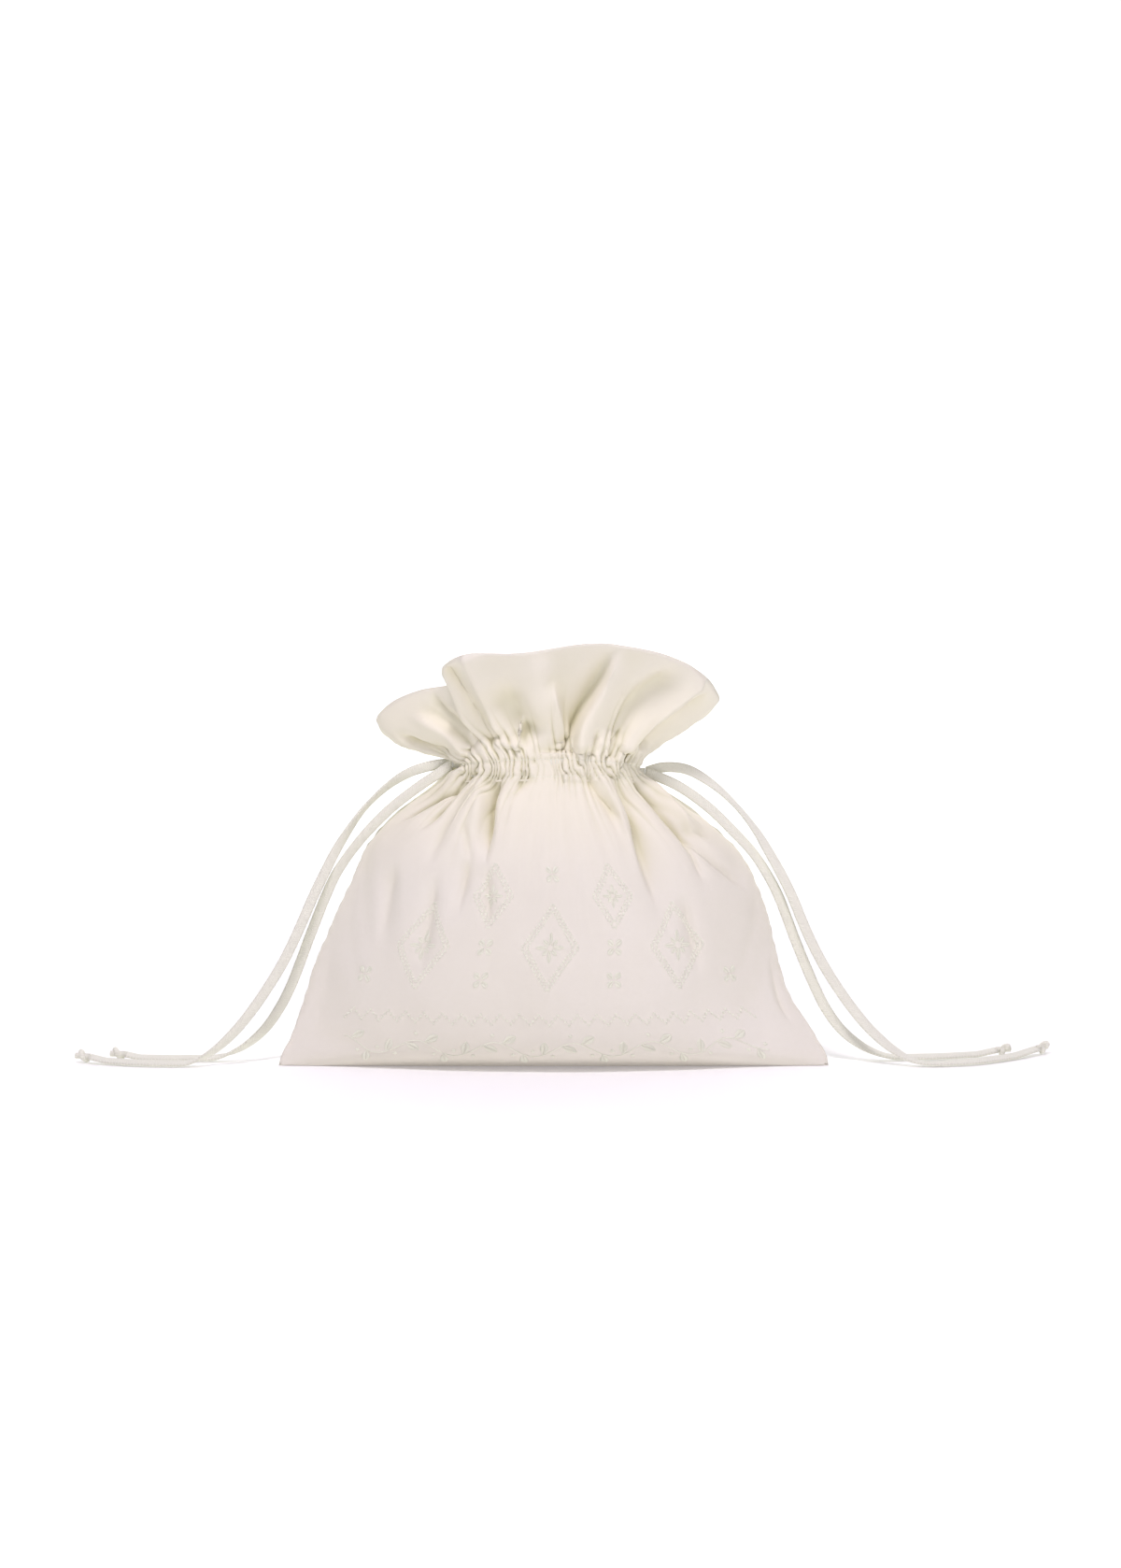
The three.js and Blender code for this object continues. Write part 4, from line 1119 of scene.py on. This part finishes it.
    def tint_inside(self, mesh: bpy.types.Mesh) -> None:
        """Gives the inner face, the second half of the points, its own painted fold shade."""
        count = len(mesh.vertices)
        outer, inner = np.zeros(count, dtype=np.float32), np.zeros(count, dtype=np.float32)
        mesh.attributes["painted_fold_shade"].data.foreach_get("value", outer)
        mesh.attributes["painted_fold_shade_inside"].data.foreach_get("value", inner)
        outer[count // 2 :] = inner[count // 2 :]
        mesh.attributes["painted_fold_shade"].data.foreach_set("value", outer)
        mesh.attributes.remove(mesh.attributes["painted_fold_shade_inside"])

    def build(self, material: Material) -> None:
        """Builds the panel with its thickness."""
        self.lay_out()
        self.draw_folds()
        self.settle()
        self.ripple()
        self.draw_gathers()
        self.grid[..., 2] = np.maximum(self.grid[..., 2], 0)
        faces = grid_faces(self.rows, self.columns)
        if self.side is Side.BACK:
            faces = [face[::-1] for face in faces]
        flat = flat_places(self.share, (self.heights / self.heights[-1])[:, None])
        made = Shell(self.grid, faces, flat).piece(self.name, material, "cloth")
        # Painted fold shade for the outer face and for the inner one.
        for name, facing in (("painted_fold_shade", 1), ("painted_fold_shade_inside", -1)):
            layer = made.data.attributes.new(name, "FLOAT", "POINT")
            layer.data.foreach_set("value", self.painted_fold_shades(facing).astype(np.float32))
        only(made)
        bpy.ops.object.mode_set(mode="EDIT")
        bpy.ops.mesh.select_all(action="SELECT")
        bpy.ops.mesh.remove_doubles(threshold=WELD)
        bpy.ops.object.mode_set(mode="OBJECT")
        wall = made.modifiers.new("wall", "SOLIDIFY")
        wall.thickness = self.thick * MM
        wall.offset = -1
        bpy.ops.object.modifier_apply(modifier=wall.name)
        self.tint_inside(made.data)
        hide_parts(self.node)
        flat = (self.flat_width * MM, float(self.heights[-1]) * MM)


@dataclass
class Tape:
    """The flat woven tape of the drawstrings."""

    width: float = 5.6
    thick: float = 1.8
    sides: int = 16

    def along(self, line: Array, wide: Array, flat: Array) -> Shell:
        """The tape along a line.

        Args:
            line: its middle points.
            wide: the direction of its width at each.
            flat: the direction of its flat side at each.

        Returns:
            The shell.
        """
        turn = np.arange(self.sides) * math.tau / self.sides
        w = np.sign(np.cos(turn)) * np.abs(np.cos(turn)) ** 0.55
        t = np.sign(np.sin(turn)) * np.abs(np.sin(turn)) ** 0.85
        rings = (
            line[:, None]
            + wide[:, None] * (w * self.width / 2)[:, None]
            + flat[:, None] * (t * self.thick / 2)[:, None]
        )
        return swept(rings, flat_places(0.5 + 0.5 * w, (arc_lengths(line) * MM)[:, None]), closed=False)


@dataclass
class CordEnd:
    """A free end of a drawstring, from its eyelet to its stopper knot."""

    name: str
    tape: Tape = field(default_factory=Tape)
    steps: int = 190
    knot_steps: int = 110
    knot_half: float = 1.6
    knot_flat: float = 0.85
    knot_sides: int = 12
    knot_lift: float = 3.6
    knot_middle: float = 4.4
    knot_size: Triple = (0.2, 0.98, 0.75)
    cut_end: float = 5.5
    above_floor: Pair = (0.1, 0.05)
    lean: float = 72.0
    lying: Pair = (62, 92)

    @property
    def route(self) -> Array:
        """The route's table, one row a point."""
        return np.array(CORD_ROUTES[self.name], float)

    def centreline(self) -> Array:
        """The smooth line through the route's points, with the face as its fourth value."""
        rows = self.route
        rows = np.vstack((2 * rows[0] - rows[1], rows, 2 * rows[-1] - rows[-2]))
        gaps = np.linalg.norm(np.diff(rows[:, :3], axis=0), axis=1) ** 0.5
        knots = np.concatenate(([0.0], np.cumsum(gaps)))
        made = []
        for t in np.linspace(knots[1], knots[-2], self.steps):
            i = int(np.clip(np.searchsorted(knots, t, side="right") - 1, 1, len(rows) - 3))
            k, p = knots[i - 1 : i + 3], rows[i - 1 : i + 3]
            a = [((k[j + 1] - t) * p[j] + (t - k[j]) * p[j + 1]) / (k[j + 1] - k[j]) for j in range(3)]
            b = [((k[j + 2] - t) * a[j] + (t - k[j]) * a[j + 1]) / (k[j + 2] - k[j]) for j in range(2)]
            made.append(((k[2] - t) * b[0] + (t - k[1]) * b[1]) / (k[2] - k[1]))
        return np.array(made)

    def build_tape(self, material: Material) -> tuple[Piece, Array]:
        """Builds the tape.

        Args:
            material: the tape's finish.

        Returns:
            The piece, and its middle line in metres.
        """
        line = self.centreline()
        run = arc_lengths(line)
        lean = self.lean if line[-1, 0] > 0 else 180 - self.lean
        line[:, 3] += (lean - line[:, 3]) * (1 - smoothstep(*self.lying, run[-1] - run))
        face = np.radians(line[:, 3])[:, None]
        cosine, sine = np.cos(face), np.sin(face)
        half_high = self.tape.width / 2 * np.abs(cosine) + self.tape.thick / 2 * np.abs(sine)
        line[:, 2] = np.maximum(line[:, 2], half_high[:, 0] + self.above_floor[0])
        middle = line[:, :3]
        tangent = unit(np.gradient(middle, axis=0))
        tangent[0] = (np.sign(middle[0, 0]), 0, 0)
        near = unit(TO_FRONT - tangent * (tangent @ TO_FRONT)[:, None])
        aside = np.cross(tangent, near)
        shell = self.tape.along(middle, cosine * aside + sine * near, sine * aside - cosine * near)
        made = shell.piece(f"cord_{self.name}_tape", material, "cord")
        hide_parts(f"cord_{self.name}")
        return made, middle * MM

    def build_knot(self, material: Material) -> Piece:
        """Builds the overhand knot and its short cut end.

        Args:
            material: the tape's finish.

        Returns:
            The piece.
        """
        before, end = self.route[-2:, :3]
        ahead = unit((end - before) * LEVEL)
        aside = np.cross(UP, ahead)
        t = np.linspace(-2.4, 2.34, self.knot_steps)
        hold = 1 - smoothstep(1.5, 2.0, np.abs(t))
        inner = np.clip(t, -2, 2)
        long, tall, wide = self.knot_size
        run = self.knot_middle + long * (inner**5 - 10 * inner) + self.cut_end * (t - inner)
        rise = tall * (inner**3 - 3 * inner) * hold
        swing = wide * (inner**4 - 4 * inner**2 + 1.2) * hold
        line = end * LEVEL + UP * np.maximum(end[2] + self.above_floor[0], self.knot_lift)
        line = line + np.outer(run, ahead) + np.outer(rise, UP) + np.outer(swing, aside)
        tangent = unit(np.gradient(line, axis=0))
        first = unit(np.cross(tangent, aside + 0.2 * UP))
        second = np.cross(tangent, first) * self.knot_flat
        half = (self.knot_half * (1 + 0.35 * smoothstep(2.3, 2.5, t)))[:, None, None]
        turn = np.arange(self.knot_sides) * math.tau / self.knot_sides
        round_it = first[:, None] * np.cos(turn)[:, None] + second[:, None] * np.sin(turn)[:, None]
        rings = line[:, None] + half * round_it
        rings[..., 2] = np.maximum(rings[..., 2], self.above_floor[1])
        flat = flat_places(turn / math.tau, (arc_lengths(line) * MM)[:, None])
        made = swept(rings, flat, closed=False).piece(f"knot_{self.name}_overhand", material, "cord")
        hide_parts(f"knot_{self.name}")
        return made

    def build(self, material: Material) -> None:
        tape, line = self.build_tape(material)
        knot = self.build_knot(material)


@dataclass
class CasingLining:
    """What lies behind the casing: the sewn strip and both drawstrings' hidden loops."""

    form: BagForm = field(default_factory=BagForm)
    steps: int = 420
    edge_inset: float = 1.5
    wall_inset: float = 4.5
    strip: float = 1.0
    slope: float = 0.4
    drop: float = 2.0
    gathered: float = 1.25
    loop_inset: float = 2.45
    loop_span: Pair = (0.055, 0.945)

    def build_strip(self, material: Material) -> None:
        """Builds the strip that closes the channel, drawn up in small ripples."""
        wall, edge, slope = self.wall_inset, self.edge_inset, self.slope
        profile = (
            (wall + self.strip, CASING_FOOT - slope),
            (wall + self.strip, CASING_HEAD + slope - self.drop),
            (edge, CASING_HEAD + 1),
            (edge, CASING_HEAD),
            (wall, CASING_HEAD - slope - self.drop),
            (wall, CASING_FOOT + slope),
            (edge, CASING_FOOT),
            (edge, CASING_FOOT - 1),
        )
        share = np.arange(self.steps) / self.steps
        turn = math.tau * share
        stray = 0.9 * np.sin(5 * turn) + 0.6 * np.sin(11 * turn + 1.1)
        ripple = 0.75 * np.sin(42 * turn + stray) + 0.45 * np.sin(17 * turn + 0.6 + stray)
        rings = np.stack([self.form.ring(share, inset, z) for inset, z in profile], axis=1)
        rings[:, :2] -= unit(rings[:, :2] * LEVEL) * (self.gathered + ripple)[:, None, None]
        flat = flat_places(share[:, None], np.linspace(0, 0.1, len(profile)))
        made = swept(rings, flat, closed=True).piece("casing_strip", material, "cloth")
        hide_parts("casing")

    def build_loop(self, hand: Hand, material: Material) -> None:
        """Builds the hidden stretch of one drawstring, in at its own eyelet and out again."""
        word = hand.name.lower()
        mouth, _, z, _ = CORD_ROUTES[f"{word}_upper"][0]
        start = 0.0 if hand is Hand.LEFT else 0.5
        ring = self.form.ring(start + np.linspace(*self.loop_span, self.steps - 10), self.loop_inset, z)
        out = hand.value
        lane = [(mouth - out * (0.3 + d), out * (1.3 + 0.1 * d), z) for d in (0.0, 1.3, 2.6)]
        back = [(x, -y, height) for x, y, height in reversed(lane)]
        line = np.vstack((lane, ring, back))
        up = np.broadcast_to(UP, line.shape)
        level = unit(np.gradient(line, axis=0))
        shell = Tape(width=4.4, thick=1.6, sides=12).along(line, up, np.cross(level, up))
        made = shell.piece(f"drawstring_{word}_inner", material, "cord")
        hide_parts(f"drawstring_{word}_loop")

    def build(self, cloth: Material, tape: Material) -> None:
        """Builds the strip and both loops."""
        self.build_strip(cloth)
        for hand in Hand:
            self.build_loop(hand, tape)


@dataclass
class StitchWork:
    """Raised stitches on a panel, each from one place on the flat cloth to another."""

    panel: ClothPanel
    name: str
    half: float = 0.36
    height: float = 0.42
    leaf_half: float = 0.33
    leaf_pitch: float = 0.62
    rings: int = 5
    sides: int = 6
    runs: list[tuple[float, ...]] = field(default_factory=list)

    def add(self, start: Pair, end: Pair, half: float | None = None) -> None:
        """Adds a stitch between two places on the flat cloth."""
        self.runs.append((*start, *end, self.half if half is None else half))

    def cross(self, u: float, v: float, size: float) -> None:
        """Adds a cross stitch round a place."""
        s = size * 0.46
        self.add((u - s, v - s), (u + s, v + s))
        self.add((u - s, v + s), (u + s, v - s))

    def leaf(self, u: float, v: float, turn: float, long: float, wide: float) -> None:
        """Adds a satin-stitched leaf from its stalk at a place, in a direction."""
        ahead = np.array((math.cos(turn), math.sin(turn)))
        aside = np.array((-ahead[1], ahead[0]))
        count = max(5, int(long / self.leaf_pitch))
        for k in range(count):
            share = (k + 0.5) / count
            reach = wide / 2 * math.sin(math.pi * share**0.85) + 0.25
            middle = np.array((u, v)) + ahead * long * share
            for side in (1, -1):
                tip = middle + (side * aside + 0.57 * ahead) * reach
                self.add(tuple(middle - 0.11 * ahead * reach), tuple(tip), self.leaf_half)

    def build(self, material: Material) -> None:
        """Lays all the stitches on the panel as one piece."""
        runs = np.array(self.runs)
        share = np.linspace(0, 1, self.rings)
        u, v = (runs[:, [k]] + (runs[:, [k + 2]] - runs[:, [k]]) * share for k in (0, 1))
        points, away = self.panel.place(u, v)
        aside = unit(np.cross(unit(np.gradient(points, axis=1)), away))
        arch = np.sin(math.pi * (0.1 + 0.8 * share))[:, None]
        waist = (0.55 + 0.45 * np.sin(math.pi * share))[:, None]
        turn = np.arange(self.sides) * math.tau / self.sides
        high = self.height * 0.55
        rings = (
            (points + away * (high * arch - 0.12))[:, :, None]
            + (aside * runs[:, 4, None, None] * waist)[:, :, None] * np.cos(turn)[:, None]
            + (away * high * waist)[:, :, None] * np.sin(turn)[:, None]
        )
        run = np.linalg.norm(points - points[:, :1], axis=-1) * MM
        flat = flat_places(turn / math.tau, run[:, :, None])
        pattern = [(face[0], *face[:0:-1]) for face in swept(rings[0], flat[0], closed=False).faces]
        starts = range(0, len(runs) * self.rings * self.sides, self.rings * self.sides)
        faces = [tuple(corner + start for corner in face) for start in starts for face in pattern]
        Shell(rings, faces, flat).piece(self.name, material, "cloth")
        LOG.info("%s: %d stitches", self.name, len(runs))


@dataclass
class Embroidery:
    """Tone-on-tone whitework: a leaf vine at the hem, and lozenges with flowers over it."""

    panel: ClothPanel
    grid: float = 1.85
    vine_height: float = 25
    vine_swing: float = 5
    vine_wave: float = 44
    vine_half: float = 121
    leaf_pitch: float = 11
    leaf_size: Pair = (8.6, 4.4)
    bud: float = 1.3
    bud_half: float = 0.42
    border_height: float = 41
    lozenges: tuple[tuple[float, float, float, float], ...] = (
        (-78, 84, 17, 24), (0, 84, 17, 24), (78, 84, 17, 24), (-39, 112, 13, 18), (39, 112, 13, 18),
    )
    sprigs: tuple[Pair, ...] = (
        (-39, 66), (39, 66), (-39, 84), (39, 84), (0, 124), (-112, 66), (112, 66),
    )

    def stem(self, u: float) -> float:
        """The vine's height over the flat cloth."""
        return self.vine_height + self.vine_swing * math.sin(math.tau * u / self.vine_wave)

    def build_vine(self, material: Material) -> None:
        """Builds the vine: a stem, leaves to both sides by turns, and small buds."""
        work = StitchWork(self.panel, "embroidery_vine")
        for start in np.arange(-self.vine_half, self.vine_half + 0.1, 2.2)[:-1]:
            work.add(*((u, self.stem(u)) for u in (start - 0.3, start + 2.5)))
        for k, u in enumerate(np.arange(5 - self.vine_half, self.vine_half - 4, self.leaf_pitch)):
            slope = math.atan2(self.stem(u + 1) - self.stem(u - 1), 2)
            side = 1 if k % 2 == 0 else -1
            work.leaf(u, self.stem(u) + side * 0.5, slope + side * 0.95, *self.leaf_size)
            bud_u = u + self.leaf_pitch / 2
            bud_v = self.stem(bud_u) - side * 4.2
            for turn in np.arange(5) * math.tau / 5:
                tip = (bud_u + self.bud * math.cos(turn), bud_v + self.bud * math.sin(turn))
                work.add((bud_u, bud_v), tip, self.bud_half)
        work.build(material)

    def build_border(self, material: Material) -> None:
        """Builds the zigzag line of cross stitches over the vine."""
        work = StitchWork(self.panel, "embroidery_border", half=0.3)
        zigzag = (0, 1, 2, 3, 2, 1)
        for k in range(-66, 67):
            work.cross(k * self.grid, self.border_height + zigzag[k % 6] * self.grid, self.grid)
        work.build(material)

    def lozenge(self, work: StitchWork, u: float, v: float, wide: float, high: float) -> None:
        """Adds an open lozenge of cross stitches round a place, two rows deep."""
        for inner in (0.0, 1.25):
            half, tall = wide - inner * self.grid * 1.2, high - inner * self.grid * 1.5
            count = int(math.hypot(half, tall) / (self.grid * 1.12))
            for k in range(count):
                share = (k + 0.5) / count
                for x, y in ((1, 1), (1, -1), (-1, 1), (-1, -1)):
                    work.cross(u + x * half * share, v + y * tall * (1 - share), self.grid * 0.92)

    def flower(self, work: StitchWork, u: float, v: float, out: float, leaves: list[Triple]) -> None:
        """Adds leaves round a place, each by its direction, length and width, from a ring at out."""
        for turn, long, wide in leaves:
            work.leaf(u + out * math.cos(turn), v + out * math.sin(turn), turn, long, wide)

    def build_field(self, material: Material) -> None:
        """Builds the lozenges with rosettes in them, and the small flowers between them."""
        lozenges = StitchWork(self.panel, "embroidery_lozenges", half=0.3)
        flowers = StitchWork(self.panel, "embroidery_flowers")
        for u, v, wide, high in self.lozenges:
            self.lozenge(lozenges, u, v, wide, high)
            size = 0.4 * wide
            leaves = [(k * math.tau / 8, size * (0.62 if k % 2 else 1), 0.3 * size) for k in range(8)]
            self.flower(flowers, u, v, 0.22 * size, leaves)
        for u, v in self.sprigs:
            self.flower(flowers, u, v, 0.8, [((k + 0.5) * math.tau / 4, 4.6, 3.0) for k in range(4)])
        lozenges.build(material)
        flowers.build(material)

    def build(self, material: Material) -> None:
        """Builds all the embroidery."""
        self.build_vine(material)
        self.build_border(material)
        self.build_field(material)


@dataclass
class CasingStitches:
    """The two rows of running stitches that hold the casing, on one panel."""

    panel: ClothPanel
    name: str
    stitch: float = 2.6
    gap: float = 1.2
    span: Pair = (-146, 144)

    def build(self, material: Material) -> None:
        """Builds both rows."""
        work = StitchWork(self.panel, self.name, half=0.24, height=0.3)
        for v in self.panel.stitch_rows():
            for u in np.arange(*self.span, self.stitch + self.gap):
                work.add((u, v), (u + self.stitch, v))
        work.build(material)


class Lamp(NamedTuple):
    """A soft square light that looks at the bag."""

    name: str
    place: Triple
    size: float
    power: float
    colour: Colour


@dataclass
class Studio:
    """The camera, the plain floor and the soft lights."""

    pitch: float = 6.0
    lens: float = 84.13
    sensor: float = 36
    floor_size: float = 14.0
    floor_back: float = 3.0
    floor_drop: float = 0.0004
    wall_height: float = 6.0
    bend: float = 1.5
    bend_steps: int = 24
    aim: Triple = (0.0, 0.0, 0.12)
    sky: Colour = (1.0, 0.925, 1.10)
    sky_strength: float = 0.3
    lamps: tuple[Lamp, ...] = (
        Lamp("key", (-0.2, -1.0, 1.85), 0.35, 20, (1.0, 0.915, 1.07)),
        Lamp("fill", (0.9, -1.9, 0.34), 0.6, 7.0, (1.0, 0.915, 1.08)),
        Lamp("top", (0.1, 0.4, 1.7), 1.2, 5, (1.0, 0.975, 1.04)),
    )

    def build_camera(self) -> None:
        """Sets the camera at the photograph's viewing angle."""
        data = bpy.data.cameras.new("camera")
        data.lens = self.lens
        data.sensor_width = self.sensor
        camera = add_object("camera", data)
        camera.location = EYE * MM
        camera.rotation_euler = (math.radians(90 - self.pitch), 0, 0)
        bpy.context.scene.camera = camera

    def build_light(self) -> None:
        """Lights the bag from above, in front and at the right, with a pale surround."""
        world = bpy.data.worlds.new("studio")
        world.use_nodes = True
        sky = world.node_tree.nodes["Background"]
        sky.inputs["Color"].default_value = (*self.sky, 1)
        sky.inputs["Strength"].default_value = self.sky_strength
        bpy.context.scene.world = world
        for lamp in self.lamps:
            data = bpy.data.lights.new(lamp.name, "AREA")
            data.size = lamp.size
            data.energy = lamp.power
            data.color = lamp.colour
            made = add_object(lamp.name, data)
            made.location = lamp.place
            x, y, z = np.array(self.aim) - np.array(lamp.place)
            made.rotation_euler = (math.atan2(math.hypot(x, y), -z), 0, math.atan2(-x, y))
        bpy.context.scene.view_settings.view_transform = "Standard"

    def build_floor(self) -> None:
        """Lays the floor under the bag and curves it up behind, as a studio sweep."""
        bpy.ops.object.select_all(action="DESELECT")
        middle = (0, self.floor_back - self.floor_size / 2, 0)
        bpy.ops.mesh.primitive_plane_add(size=self.floor_size, location=middle)
        floor = bpy.context.active_object
        floor.name = "studio_floor"
        bpy.ops.object.transform_apply(location=True, rotation=True, scale=True)
        bpy.ops.object.mode_set(mode="EDIT")
        bpy.ops.mesh.select_all(action="DESELECT")
        bpy.ops.object.mode_set(mode="OBJECT")
        for edge in floor.data.edges:
            edge.select = all(floor.data.vertices[k].co.y > self.floor_back - 0.1 for k in edge.vertices)
        bpy.ops.object.mode_set(mode="EDIT")
        bpy.ops.mesh.extrude_region_move(TRANSFORM_OT_translate={"value": (0, 0, self.wall_height)})
        bpy.ops.object.mode_set(mode="OBJECT")
        corner = floor.modifiers.new("corner", "BEVEL")
        corner.width = self.bend
        corner.segments = self.bend_steps
        corner.limit_method = "ANGLE"
        only(floor)
        bpy.ops.object.modifier_apply(modifier=corner.name)
        floor.data.materials.append(FloorFinish().material())
        for point in floor.data.vertices:
            point.co.z -= self.floor_drop
        floor.data.shade_smooth()
        LOG.info("%s laid", floor.name)


def main() -> None:
    """Builds the bag piece by piece."""
    logging.basicConfig(level=logging.INFO, format="%(message)s")
    studio = Studio()
    studio.build_camera()
    tape = TapeFinish().material()
    for name in CORD_ROUTES:
        CordEnd(name).build(tape)
    cloth = SateenFinish().material()
    thread = ThreadFinish().material()
    studio.build_floor()
    front = ClothPanel(Side.FRONT, "front_cloth", "front_panel", FRONT_FOLDS, 1.7)
    back = ClothPanel(Side.BACK, "back_cloth", "back_panel", BACK_FOLDS, 2.2)
    for panel in (front, back):
        panel.build(cloth)
        CasingStitches(panel, f"{panel.name}_casing_stitches").build(thread)
    CasingLining().build(cloth, tape)
    Embroidery(front).build(thread)
    studio.build_light()


if __name__ == "__main__":
    main()
